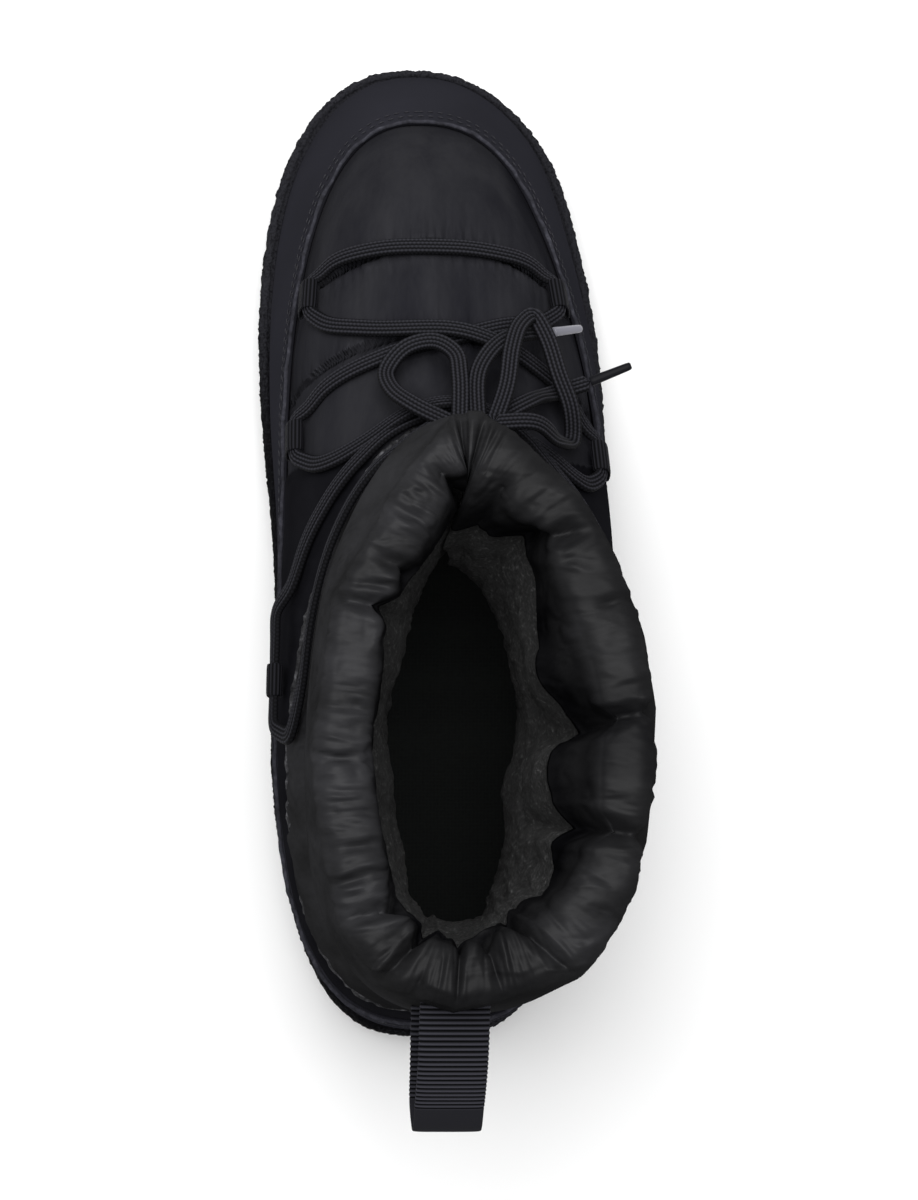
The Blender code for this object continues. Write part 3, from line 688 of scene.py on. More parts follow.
def crepe_rubber():
    """Moulded black rubber with a crepe side: dull and dark, paler along its lip, less so where a shadow is
    painted.
    """
    material, tree, place = new_material("moulded_crepe_rubber")
    grit = node(
        tree, "TexNoise", {"Vector": place, "Scale": per_metre(0.7), "Detail": 5.0, "Roughness": 0.65},
    )
    bump = node(tree, "Bump", {"Height": grit, "Strength": 0.5, "Distance": 0.0004})
    # The lip mark pales the colour along the lip and is held down where a shadow is painted on the inner
    # side.
    pale_lip_and_painted_shadow = node(tree, "Attribute", output="Fac", attribute_name="pale_lip_and_painted_shadow")
    pale = node(tree, "Math", {0: pale_lip_and_painted_shadow, 1: 0.30, 2: grit}, operation="MULTIPLY_ADD")
    colour = ramp(tree, pale, ((0.30, "#070708"), (0.60, "#0e0e10"), (0.85, "#28282c")))
    set_shader(tree, Base_Color=colour, Roughness=0.85, Normal=bump, Specular_IOR_Level=0.02)
    return material


BRAID_RIB = 1.1
BRAID_PITCH = 1.1


def lace_braid():
    """Braided polyester: black, in lengthwise ribs with fine ticks across them, and a low soft gloss. Crests
    are painted lighter as a highlight and grooves darker as shade.
    """
    material, tree, _ = new_material("flat_polyester_braid")
    across, along, _ = node(tree, "SeparateXYZ", {"Vector": node(tree, "UVMap", uv_map="along")}).node.outputs
    # A yarn crosses every 0.8 mm, drawn at 1.1 mm so that it shows, and shifts by half from rib to rib.
    rib = node(tree, "Math", {0: across, 1: BRAID_RIB}, operation="DIVIDE")
    number = node(tree, "Math", {0: rib}, operation="FLOOR")
    shifted = node(tree, "Math", {0: number, 1: BRAID_PITCH / 2, 2: along}, operation="MULTIPLY_ADD")
    turn = node(tree, "Math", {0: shifted, 1: 2 * math.pi / BRAID_PITCH}, operation="MULTIPLY")
    yarn = node(tree, "Math", {0: turn}, operation="SINE")
    place = node(tree, "Math", {0: rib}, operation="FRACT")
    crest = node(tree, "Math", {0: place, 1: 0.5}, operation="PINGPONG")
    height = node(tree, "Math", {0: yarn, 1: 0.085, 2: crest}, operation="MULTIPLY_ADD")
    bump = node(tree, "Bump", {"Height": height, "Strength": 0.5, "Distance": 0.0005})
    # The colour follows the relief: the crests of ribs and yarns are painted lighter as a highlight, the
    # grooves between them darker as painted shade.
    colour = ramp(tree, height, ((0.0, "#0a0a0b"), (0.22, "#19191c"), (0.52, "#2f2f34")))
    set_shader(tree, Base_Color=colour, Roughness=0.7, Normal=bump, Specular_IOR_Level=0.03)
    return material


def ribbed_webbing(name, pitch, dark, light):
    """Woven grosgrain tape: black and dull, each rib painted lighter on its crest as a highlight and darker
    between ribs as shade. The plain mark hides the ribs.
    """
    material, tree, _ = new_material(name)
    on_tape = node(tree, "UVMap", uv_map="along")
    along = node(tree, "SeparateXYZ", {"Vector": on_tape}, output="Y")
    plain = node(tree, "Attribute", output="Fac", attribute_name="plain")
    turn = node(tree, "Math", {0: along, 1: 2 * math.pi / pitch}, operation="MULTIPLY")
    wave = node(tree, "Math", {0: turn}, operation="COSINE")
    share = node(tree, "MapRange", {"Value": wave, "From Min": -1.0, "From Max": 1.0})
    share = node(tree, "Mix", {"Factor": plain, "A": share, "B": 0.4})
    # Threads across the tape are about 0.3 mm apart, drawn at 0.6 mm so that they show.
    thread = node(tree, "TexNoise", {"Vector": on_tape, "Scale": 1.6, "Detail": 3.0})
    height = node(tree, "Math", {0: thread, 1: 0.5, 2: share}, operation="MULTIPLY_ADD")
    bump = node(tree, "Bump", {"Height": height, "Strength": 0.3, "Distance": 0.0003})
    # The colour runs from painted shade between the ribs to a painted highlight on their crests.
    colour = ramp(tree, share, ((0.1, dark), (0.9, light)))
    set_shader(tree, Base_Color=colour, Roughness=0.7, Normal=bump, Specular_IOR_Level=0.03)
    return material


def lace_tip_plastic(name, code, shine):
    """Rolled acetate over the lace end: smooth and grey, with a small even gloss."""
    material, tree, place = new_material(name)
    cloudy = node(tree, "TexNoise", {"Vector": place, "Scale": per_metre(1.6), "Detail": 2.0})
    rough = node(tree, "MapRange", {"Value": cloudy, "To Min": 0.22, "To Max": 0.40})
    set_shader(tree, Base_Color=hex_colour(code), Roughness=rough, Specular_IOR_Level=shine)
    return material


def closed_sole(inset, points):
    """The sole's outline drawn in by an inset, on both sides, with its waist taken in."""
    x, y = half_plan(
        TOE_Y - inset, HEEL_Y + inset, SOLE_HALF_WIDTH - inset, SOLE_WIDEST_Y,
        SOLE_FRONT_POWER, SOLE_BACK_POWER, 0.0, points,
    )
    return np.stack(closed_plan(x, y, waist(y)), axis=1)


def towards_middle(ring, shares, shorten):
    """Plans of a ring scaled to the foot's middle line by shares, and shortened a little on the way."""
    part = np.asarray(shares)[:, None]
    middle = centre_x(ring[:, 1])
    x = middle + (ring[:, 0] - middle) * part
    y = SOLE_MIDDLE_Y + (ring[:, 1] - SOLE_MIDDLE_Y) * (1 - shorten * (1 - part))
    return np.stack([x, y], axis=-1)


def make_outsole(rubber):
    """The cup sole: its stepped side round the outline, roughened as crepe, with caps to the middle line.

    A place on the side is the outline drawn in by the inset, at a share of the height, moved out by
    lumps of about two millimetres. The caps are rows scaled to the middle line.
    """
    outline, drawn_in = (closed_sole(inset, SOLE_COLUMNS // 2) for inset in (0.0, DEEPEST_INSET))
    table = columns(SOLE_SIDE_COLUMNS, SOLE_SIDE_ROWS)
    along = lengths_along(np.stack([table["inset"], table["height"] * BALL_THICKNESS], axis=1))
    at = np.linspace(0.0, along[-1], SOLE_SIDE_STEPS)
    inset, height = (np.interp(at, along, table[name]) for name in SOLE_SIDE_COLUMNS)
    ring = outline + (drawn_in - outline) * (inset / DEEPEST_INSET)[:, None, None]
    y = ring[..., 1]
    base = sole_bottom(y) + LUG_DEPTH
    z = base + height[:, None] * (sole_top(y) - base)
    grid = np.concatenate([ring, z[..., None]], axis=-1)
    ahead = np.roll(outline, -1, axis=0) - np.roll(outline, 1, axis=0)
    outward = unit(np.stack([-ahead[:, 1], ahead[:, 0], np.zeros(len(outline))], axis=1))
    rough = np.abs(lumps(grid, CREPE_COARSE, 3)) + 0.6 * lumps(grid, CREPE_FINE, 4)
    on_side = step(0.05, 0.12, height) * (1 - step(0.97, 1.0, height) * step(1.6, 2.2, inset))
    grid = grid + outward * ((rough - 0.35) * CREPE_DEPTH * on_side[:, None])[..., None]
    grid[..., 2] += CREPE_LIP_DEPTH * (rough - 0.3) * (step(0.9, 0.97, height) * on_side)[:, None]
    grid[..., 0] += centre_x(grid[..., 1])
    grid[..., 0], grid[..., 1] = rounded_toe(grid[..., 0], grid[..., 1])

    def cap(row, shares):
        heights = np.broadcast_to(row[:, 2:], (len(shares), len(row), 1))
        return np.concatenate([towards_middle(row, shares, 0.02), heights], axis=-1)

    grid = np.concatenate([cap(grid[0], CAP_SHARES), grid, cap(grid[-1], CAP_SHARES[::-1])])
    sole = surface("outsole_body", grid, rubber, wrap=(False, True), folded=True)
    points = np.zeros(len(sole.data.vertices) * 3, np.float32)
    sole.data.vertices.foreach_get("co", points)
    across, along, up = points.reshape(-1, 3).T / MM
    # A painted shadow: on the inner side behind the ball the lip's paleness is cut by three quarters, as if
    # in shadow.
    shaded = 0.75 * step(20.0, -20.0, across) * step(175.0, 110.0, along)
    mark(sole, "pale_lip_and_painted_shadow", step(-3.2, -0.6, up - sole_top(along)) * (1 - shaded))
    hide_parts("outsole")


def make_lugs(rubber):
    """Tread blocks: superellipsoids of a high power, tapered downwards, rooted in the tread base."""
    x, y = half_plan(
        TOE_Y, HEEL_Y, SOLE_HALF_WIDTH, SOLE_WIDEST_Y, SOLE_FRONT_POWER, SOLE_BACK_POWER, 0.0, 200,
    )
    turn = full_turn(32)[::-1]
    tilt = np.linspace(0.02 - math.pi / 2, math.pi / 2 - 0.02, 15)[:, None]
    up = rounded(np.sin(tilt), LUG_POWER) * np.ones(len(turn))
    out = rounded(np.cos(tilt), LUG_POWER) * (LUG_TAPER + (1 - LUG_TAPER) * (up + 1) / 2)
    round_x = out * rounded(np.cos(turn), LUG_POWER)
    round_y = out * rounded(np.sin(turn), LUG_POWER)
    places = []
    for row_y, row_length, count in LUG_ROWS.values():
        reach = np.array([row_y - row_length / 2, row_y + row_length / 2])
        half = np.interp(reach, y[::-1], (x - waist(y))[::-1]).min() - LUG_EDGE
        width = (2 * half - LUG_GAP * (count - 1)) / count
        bottom = float(sole_bottom(np.array(row_y)))
        for number in range(count):
            middle = float(centre_x(np.array(row_y))) - half + width / 2 + number * (width + LUG_GAP)
            places.append(np.stack([
                middle + round_x * width / 2, row_y + round_y * row_length / 2,
                bottom + (up + 1) * (LUG_DEPTH + LUG_ROOT) / 2,
            ], axis=-1))
    lugs = blocks("tread_lugs", np.array(places), rubber)
    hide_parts("outsole")


def from_quilt_lines(place):
    """Distances ahead of the sewn lines across the vamp, an array for each line."""
    x, y = place[..., 0], place[..., 1]
    lines = zip(*columns(QUILT_COLUMNS, QUILT_ROWS).values())
    return [y - (middle_y - fall * (x - middle_x) ** 2) for middle_y, middle_x, fall in lines]


def on_vamp(y):
    """1 in front of the quarters' edge, 0 behind it."""
    return step(QUARTER_EDGE_Y - QUARTER_EDGE_SOFT, QUARTER_EDGE_Y + QUARTER_EDGE_SOFT, y)


def over_rand(level, soft):
    """Rises from 0 to 1 above the rand's top edge, within a share of the form's levels."""
    return step(RAND_TOP_LEVEL, RAND_TOP_LEVEL + soft, level)


def vamp_relief(place, level, seam_drop):
    """How far the vamp and quarters stand off the plain form.

    Sewn lines are soft troughs with pleats that fade away from them, the cloth swells between them, the
    quarters lie a cloth's thickness higher, and the ankle seam draws the top edge in.
    """
    x, y = place[..., 0], place[..., 1]
    relief = np.zeros(x.shape)
    folds = np.abs(flat_lumps(x, y * 0.10, 2.6, 11)) - 0.3
    fine = np.abs(flat_lumps(x + 0.15 * y, y * 0.2, 1.5, 12)) - 0.3
    for away in from_quilt_lines(place):
        relief -= QUILT_DEPTH * bell(away, QUILT_WIDTH) + QUILT_PULL * bell(away, QUILT_PULL_WIDTH)
        gather = 1 - bell(away, 0.8)
        relief += folds * np.exp(-np.abs(away) / 5.0) * gather
        relief += 0.8 * fine * np.exp(-np.abs(away) / 3.0) * gather
    relief += 0.22 * flat_lumps(x + 0.2 * y, y * 0.22, 6.0, 13)
    relief += CHANNEL_DEPTH * np.cos((x + CHANNEL_X) * 2 * math.pi / CHANNEL_PITCH) * over_rand(level, 0.1)
    relief += VAMP_PUFF * over_rand(level, 0.12)
    relief = relief * on_vamp(y)
    relief += (1 - on_vamp(y)) * (QUARTER_LIFT + 0.25 * lumps(place, (16.0, 22.0, 12.0), 14))
    relief -= 0.5 * bell(y - QUARTER_EDGE_Y - 1.4, 1.2) * over_rand(level, 0.06)
    relief -= 0.35 * bell(y - QUARTER_EDGE_Y + 2.2, 0.5) * over_rand(level, 0.06)
    pleats = flat_lumps(y * 0.9 + x * 0.4, place[..., 2] * 0.3, 1.7, 15)
    relief -= 1.4 * np.exp(-seam_drop / 1.6)
    relief += 0.55 * pleats * np.exp(-seam_drop / 5.0) * (1 - np.exp(-seam_drop / 0.8))
    return relief * step(RAND_TOP_LEVEL - 0.02, RAND_TOP_LEVEL + 0.03, level)


def gathered(place):
    """How strongly the cloth is gathered: 1 beside the sewn lines across the vamp, soon fading."""
    strength = np.zeros(place.shape[:-1])
    for away in map(np.abs, from_quilt_lines(place)):
        strength = np.maximum(strength, np.exp(-away / 2.8) * step(0.2, 1.2, away))
    return strength * on_vamp(place[..., 1])


def make_vamp(nylon, quarter_cloth):
    """Vamp and quarters in one closed skin: the form from the sole to the ankle seam, plus its relief."""
    place, outward = form_field(VAMP_COLUMNS)
    top = seam_level(place)
    level = np.linspace(0.0, 1.0, 128)[:, None] * top
    grid, out = at_level(place, level), at_level(outward, level)
    spans = np.linalg.norm(np.diff(grid, axis=0), axis=-1)
    drop = np.concatenate([np.cumsum(spans[::-1], axis=0)[::-1], np.zeros((1, VAMP_COLUMNS))])
    front = grid + out * vamp_relief(grid, level, drop)[..., None]
    back_level = np.linspace(1.0, 0.0, 9)[:, None] * top
    back = at_level(place, back_level) - at_level(outward, back_level) * CLOTH_BACK
    back[..., 2] = np.maximum(back[..., 2], cup_floor(back[..., 1]))
    whole = np.concatenate([front, back])
    vamp = surface("vamp_and_quarters", whole, nylon)
    mark(vamp, "gather", gathered(whole))
    vamp.data.materials.append(quarter_cloth)
    beside = np.roll(whole, -1, axis=1)
    middle_y = (whole + beside + np.roll(whole, -1, axis=0) + np.roll(beside, -1, axis=0))[..., 1] / 4
    vamp.data.polygons.foreach_set("material_index", (middle_y < QUARTER_EDGE_Y).astype(np.int32).ravel())
    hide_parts("upper")


# Folds of the rolled collar. A place round the collar is a share of the ring from the front over the
# outer side. A place over the roll is 0 at its outer foot and 1 at its inner foot, in spans of ROLL_SPAN.
# The pull is the share of a wide soft trough that draws the padding in beside the fold.
ROLL_SPAN = 25.0
CREASE_COLUMNS = ("outer_ring", "inner_ring", "start", "end", "depth", "width", "pull")
CREASE_ROWS = {
    "front pleat inner": (0.990, 0.984, -0.10, 1.5, 3.6, 1.8, 0.12),
    "front pleat outer": (0.024, 0.014, 0.05, 1.5, 2.8, 1.6, 0.10),
    "front side": (0.082, 0.098, 0.45, 1.9, 3.2, 2.4, 0.30),
    "outer front fold": (0.152, 0.128, 0.15, 1.6, 4.2, 2.2, 0.40),
    "outer front nick": (0.196, 0.190, -0.30, 0.6, 2.2, 1.4, 0.15),
    "outer side": (0.243, 0.252, -0.30, 1.62, 5.0, 1.9, 0.45),
    "outer edge nick": (0.283, 0.281, -0.35, 0.25, 1.6, 1.2, 0.10),
    "outer rear": (0.305, 0.305, -0.40, 1.62, 5.4, 2.1, 0.45),
    "outer rear nick": (0.348, 0.352, -0.20, 0.6, 2.2, 1.3, 0.15),
    "back corner": (0.392, 0.432, 0.00, 1.6, 3.6, 2.0, 0.35),
    "back fold": (0.462, 0.494, 0.10, 1.5, 3.4, 1.7, 0.25),
    "back seam": (0.522, 0.522, 0.10, 1.6, 2.4, 0.9, 0.20),
    "back nick": (0.574, 0.568, -0.20, 0.5, 2.2, 1.4, 0.10),
    "back inner fold": (0.602, 0.590, -0.10, 1.6, 4.2, 1.9, 0.35),
    "inner rear fold": (0.652, 0.632, 0.05, 1.5, 3.8, 2.0, 0.25),
    "inner rear wrinkle": (0.671, 0.668, 0.05, 0.9, 1.3, 1.1, 0.05),
    "inner rear wrinkle front": (0.689, 0.687, -0.05, 0.9, 1.4, 1.1, 0.05),
    "inner middle wrinkle": (0.708, 0.704, 0.00, 0.9, 1.3, 0.9, 0.05),
    "inner cross": (0.735, 0.729, 0.00, 1.0, 2.0, 1.1, 0.10),
    "inner cross back": (0.727, 0.737, 0.05, 1.0, 1.5, 0.9, 0.05),
    "inner wrinkle": (0.757, 0.755, 0.10, 0.9, 1.4, 1.0, 0.05),
    "inner wrinkle front": (0.764, 0.766, 0.20, 0.9, 1.2, 0.8, 0.05),
    "inner step": (0.806, 0.810, -0.20, 1.6, 4.2, 1.7, 0.20),
    "inner step wrinkle": (0.816, 0.822, 0.05, 0.9, 1.5, 1.0, 0.10),
    "inner front fold": (0.838, 0.832, 0.20, 1.5, 2.6, 1.8, 0.15),
    "inner front wrinkle": (0.872, 0.867, 0.05, 1.0, 1.7, 1.2, 0.10),
    "inner front crease": (0.918, 0.924, 0.25, 1.7, 3.4, 1.9, 0.25),
}
# The collar's outline is drawn towards straight lines between these shares of the ring.
COLLAR_CORNERS = (0.016, 0.128, 0.196, 0.243, 0.305, 0.348, 0.392, 0.522, 0.602, 0.652, 0.735, 0.806, 0.984)
COLLAR_FLATNESS = 0.8
FACING_DROP = (0.022, 0.065, 0.045)
# The facing's edge inside the collar has tips and falls, at a share of the ring, with a reach in shares.
FACING_COLUMNS = ("ring", "reach", "swell")
FACING_ROWS = {
    "outer front fall": (0.150, 0.040, -8.0),
    "outer front tip": (0.214, 0.016, 1.5),
    "outer side fall": (0.243, 0.012, -3.5),
    "outer side tip": (0.273, 0.014, 2.0),
    "outer rear fall": (0.348, 0.026, -5.0),
}
# The roll is slimmer on the inner side and beside the front pleat, at a share of the ring.
INNER_SLIM = 0.15
PLEAT_SLIM = 0.32
PLEAT_SLIM_RING = 0.925
PLEAT_SLIM_REACH = 0.05
# Layers of crumples on the roll: strength, lean over the roll, size round and over it, seed, and whether the
# layer is stronger where the collar is crumpled.
CRUMPLE_ROWS = {
    "cross wrinkles": (1.0, 0.0, 2.6, 11.0, 21, True),
    "soft dents": (1.1, 0.35, 10.0, 17.0, 22, False),
    "slanted wrinkles": (0.7, 0.35, 3.8, 7.0, 26, True),
    "fine wrinkles": (0.5, 0.0, 1.5, 6.0, 27, True),
}
# Layers of the pile: strength, size and seed. The lining stands off the wall by its fullness.
PILE_ROWS = {
    "lumps": (1.0, (9.0, 11.0, 9.0), 31),
    "tufts": (0.7, (3.6, 3.6, 3.2), 32),
    "fine tufts": (0.35, (1.5, 1.5, 1.5), 33),
    "slack": (2.6, (21.0, 19.0, 34.0), 34),
}
PILE_SINK = 0.8
LINING_FULL = 6.2
LINING_FULL_OUTER = 5.6
LINING_FULL_FRONT = 6.5
LINING_FULL_REAR = 2.0
LINING_REAR_RING = 0.29
LINING_REAR_REACH = 0.07


def crease_relief(arc, over):
    """Depth of the collar's folds, and how near each place is to one.

    Each fold is a trough that deepens and widens over the roll to the inside.
    """
    round_all = arc[-1]
    here = arc[:-1]
    relief, near = np.zeros((2, len(over), len(here)))
    ring = np.arange(len(arc)) / (len(arc) - 1)
    table = columns(CREASE_COLUMNS, CREASE_ROWS)
    for outer, inner, start, end, depth, width, pull in zip(*table.values()):
        share = np.clip((over - start) / (end - start), 0.0, 1.0)
        ring_here = outer + (inner - outer) * share
        away = here[None] - np.interp(ring_here % 1.0, ring, arc)[:, None]
        away = (away + round_all / 2) % round_all - round_all / 2
        fade = np.clip(np.minimum((over - start) / 0.35, (end - over) / 0.22), 0.0, 1.0)[:, None]
        fade = fade * fade * (3 - 2 * fade) * (0.6 + 0.4 * step(0.1, 0.8, over))[:, None]
        near = np.maximum(near, bell(away, 7.0) * fade)
        wide = width * (0.75 + 0.5 * step(0.2, 1.0, over))[:, None]
        trough = np.exp(-np.sqrt((away / wide) ** 2 + 0.02)) + pull * bell(away, wide * 4.5)
        ridge = 0.20 * (bell(away - 2.3 * wide, wide) + bell(away + 2.3 * wide, wide))
        relief += depth * fade * (ridge - trough)
    return relief, near


def facing_depth(outward):
    """How far the collar's facing reaches down inside: short on the inner side, longer elsewhere."""
    least, outer, front = FACING_DROP
    to_outer = step(-0.3, 0.7, outward[:, 0])
    return least + outer * to_outer + front * np.clip(outward[:, 1], 0.0, 1.0) ** 2 * (1 - to_outer)


def facing_swell(ring, outward):
    """How far the facing's edge swells inwards: most outside and at the front, with tips and falls."""
    swell = 0.4 + 7.0 * np.clip(outward[:, 0], 0.0, 1.0) + 7.0 * np.clip(outward[:, 1], 0.0, 1.0) ** 2
    table = columns(FACING_COLUMNS, FACING_ROWS)
    for middle, reach, change in zip(*table.values()):
        swell += change * bell(ring - middle, reach)
    return swell


def folded_shift(ring, arc):
    """How far each place of the collar moves to reach the straight line between its two corner folds."""
    corner = np.rint(np.array(COLLAR_CORNERS) * len(ring)).astype(int)
    at = np.concatenate([arc[corner[-1:]] - arc[-1], arc[corner], arc[corner[:1]] + arc[-1]])
    ends = np.concatenate([ring[corner[-1:]], ring[corner], ring[corner[:1]]])
    line = np.stack([np.interp(arc[:-1], at, ends[:, k]) for k in range(3)], axis=1)
    shift = (line - ring) * COLLAR_FLATNESS
    shift[:, 2] = 0.0
    return shift


def shaft_relief(arc, travel, over, height):
    """How far the shaft stands off the plain form: folds, crumples, soft swelling and puckers at the seam.

    The arc goes round the collar, travel and over go up the wall and over the roll, and height is the
    distance from the seam.
    """
    relief, near = crease_relief(arc, over)
    ring = np.arange(SHAFT_COLUMNS) / SHAFT_COLUMNS
    round_it, up_it = np.meshgrid(arc[:-1], travel)
    on_roll = step(-0.3, 0.2, over)[:, None]
    crumpled = 0.34 + 0.26 * step(0.58, 0.64, ring) * (1 - step(0.86, 0.92, ring)) + 0.6 * near
    crumpled = crumpled * (1 - 0.65 * step(0.65, 1.0, over)[:, None])
    for strength, lean, size_round, size_over, seed, gathers in CRUMPLE_ROWS.values():
        heights = flat_lumps(round_it + lean * up_it, up_it, (size_round, size_over, 1.0), seed)
        relief += strength * on_roll * (crumpled if gathers else 1.0) * (np.abs(heights) - 0.3)
    swell = flat_lumps(round_it, up_it, (26.0, 30.0, 1.0), 23)
    relief += 0.8 * swell * step(0.02, 0.3, travel / travel[-1])[:, None]
    pleats = flat_lumps(round_it, up_it, (2.0, 10.0, 1.0), 24)
    pleats = pleats + 0.6 * flat_lumps(round_it, up_it, (4.5, 14.0, 1.0), 25)
    outside = 1 - step(-1.4, -0.6, over)[:, None]
    relief -= 2.0 * np.exp(-height / 2.2) * outside
    relief += 1.1 * pleats * np.exp(-height / 9.0) * (1 - np.exp(-height)) * outside
    return relief


def make_shaft(nylon, seam_tape):
    """The padded shaft with its rolled collar: up the form from the seam, over a half circle, down inside.

    The facing inside the collar swells inwards, more on the outer side, and ends in a rounded edge over the
    lining, whose places are given back.
    """
    place, outward = form_field(SHAFT_COLUMNS)
    top, side = place[-1], outward[-1]
    ring = np.arange(SHAFT_COLUMNS) / SHAFT_COLUMNS
    foot = seam_level(place)
    level = foot + (1 - foot) * np.linspace(0.0, 1.0, 92)[:, None]
    wall_out, wall_normal = at_level(place, level), at_level(outward, level)
    slim = 1 - INNER_SLIM * step(0.80, 0.97, -side[:, :1])
    slim = slim - PLEAT_SLIM * bell(ring[:, None] - PLEAT_SLIM_RING, PLEAT_SLIM_REACH)
    radius = float(form_value("wall", 1.0)) / 2 * slim
    turn = np.linspace(0.0, math.pi, 40)[1:-1][:, None, None]
    up = np.array([0.0, 0.0, 1.0])
    wide, tall = rounded(np.cos(turn), 0.75), rounded(np.sin(turn), 0.62)
    roll = top + side * radius * (wide - 1) + up * radius * tall
    roll_normal = side * np.cos(turn) + up * np.sin(turn)
    down = np.linspace(0.0, 1.0, 24)
    inner_level = 1.0 - facing_depth(side) * down[:, None]
    depth = form_value("wall", inner_level)[..., None]
    inner = at_level(place, inner_level) - at_level(outward, inner_level) * depth * slim
    grid = np.concatenate([wall_out, roll, inner])
    normal = unit(np.concatenate([wall_normal, roll_normal, -at_level(outward, inner_level)]))
    spans = np.linalg.norm(np.diff(grid, axis=0), axis=-1).mean(axis=1)
    travel = np.concatenate([[0.0], np.cumsum(spans)])
    over = (travel - travel[len(wall_out) - 1]) / ROLL_SPAN
    arc = arc_round(top)
    relief = shaft_relief(arc, travel, over, np.linalg.norm(grid - grid[0], axis=-1))
    last_of_roll = np.clip((over[:-len(down)] - 0.75) / 0.25, 0.0, 1.0)
    slope = np.concatenate([0.25 * last_of_roll, 0.25 + 0.75 * down])
    relief += slope[:, None] * facing_swell(ring, side)
    grid = grid + normal * relief[..., None]
    grid = grid + folded_shift(top, arc) * step(-1.6, -0.1, over)[:, None, None]
    back = np.linspace(1.0, 0.0, 8)[:, None]
    inside_level = foot + (inner_level[-1] - foot) * back
    sink = back * (form_value("wall", inner_level[-1]) - 8.0) + 3.0
    inside = at_level(place, inside_level) - at_level(outward, inside_level) * sink[..., None] * slim
    shaft = surface("padded_shaft", np.concatenate([grid, inside]), nylon)
    # Painted shade: the facing darkens as it slopes down inside, the roll's outer side and back darken as if
    # turned from the light, and the shaft's inside is fully darkened.
    painted_shade_outer_and_back = np.maximum(np.clip(side[:, 0], 0.0, 1.0), np.clip(-side[:, 1], 0.0, 1.0) ** 2)
    shade = np.maximum(step(0.1, 0.8, slope)[:, None], 0.50 * painted_shade_outer_and_back)
    mark(shaft, "shade", np.concatenate([shade, np.ones(inside.shape[:2])]))
    sew_ankle(grid[0], wall_normal[0], seam_tape)
    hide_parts("upper")
    return grid[-1]


def along_ring(ring):
    """Directions along a closed ring, each from the point before to the point after."""
    return unit(np.roll(ring, -1, axis=0) - np.roll(ring, 1, axis=0))


def sew_ankle(line, outward, seam_tape):
    """The gathered edge along the ankle seam: a thin tube whose radius swells at each gather."""
    arc = arc_round(line)[:-1]
    still = np.zeros_like(arc)
    radius = 0.85 + 0.35 * flat_lumps(arc, still, 1.6, 51) + 0.25 * flat_lumps(arc, still, 4.4, 52)
    rise = unit(np.cross(along_ring(line), outward))
    turn = full_turn(12)[:, None, None]
    tube = line + outward * 0.6 + (outward * np.cos(turn) + rise * np.sin(turn)) * radius[:, None]
    seam = surface("ankle_seam_edge", tube, seam_tape)


def make_lining(pile, edge):
    """The fleece lining: from behind the collar facing's edge down the inside of the wall, with soft lumps.

    Each column starts at the facing's edge and eases over to the wall's inside within a quarter of the depth.
    """
    place, outward = form_field(SHAFT_COLUMNS)
    ring = np.arange(SHAFT_COLUMNS) / SHAFT_COLUMNS
    top = 1.0 - facing_depth(outward[-1])
    level = np.linspace(1.0, 0.0, 92)[:, None] * top
    inner = at_level(place, level)
    normal = -at_level(outward, level)
    swell = sum(strength * lumps(inner, size, seed) for strength, size, seed in PILE_ROWS.values())
    swell = (swell - PILE_SINK) * step(0.0, 0.05, top - level) * step(0.0, 0.08, level)
    to_outer = np.clip(-normal[..., 0], 0.0, 1.0)
    to_front = np.clip(-normal[..., 1], 0.0, 1.0) * step(0.50, 0.66, level)
    full = LINING_FULL + LINING_FULL_OUTER * to_outer + LINING_FULL_FRONT * to_front
    full = full * (1 - 0.35 * step(0.84, 0.92, level))
    full = full + LINING_FULL_REAR * bell(ring - LINING_REAR_RING, LINING_REAR_REACH)
    depth = form_value("wall", level) + swell + full * step(0.16, 0.40, level) - 0.3
    front = inner + normal * depth[..., None]
    start = edge - normal[0] * 0.9
    front = front + (start - front[0]) * (1 - step(0.0, 0.25, top - level))[..., None]
    tuck = start - normal[0] * 2.4 + np.array([0.0, 0.0, 0.2])
    back_level = np.linspace(0.0, 1.0, 10)[:, None] * top
    back_depth = form_value("wall", back_level) - 4.5 - 2.5 * step(0.75, 0.9, back_level)
    back = at_level(place, back_level) - at_level(outward, back_level) * back_depth[..., None]
    whole = np.concatenate([tuck[None], front, back])
    whole[..., 2] = np.maximum(whole[..., 2], cup_floor(whole[..., 1]))
    lining = surface("fleece_lining", whole, pile)
    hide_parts("upper")


# Two rows of stitches under the rand's top edge: their drops below it, and the size of a stitch.
STITCH_DROPS = (2.0, 4.2)
STITCH_PITCH = 2.6
STITCH_HALF_SIZES = (0.85, 0.22, 0.18)
RAND_HEIGHT_STEPS = 44
LEVELS_PER_MM = 1 / 220.0


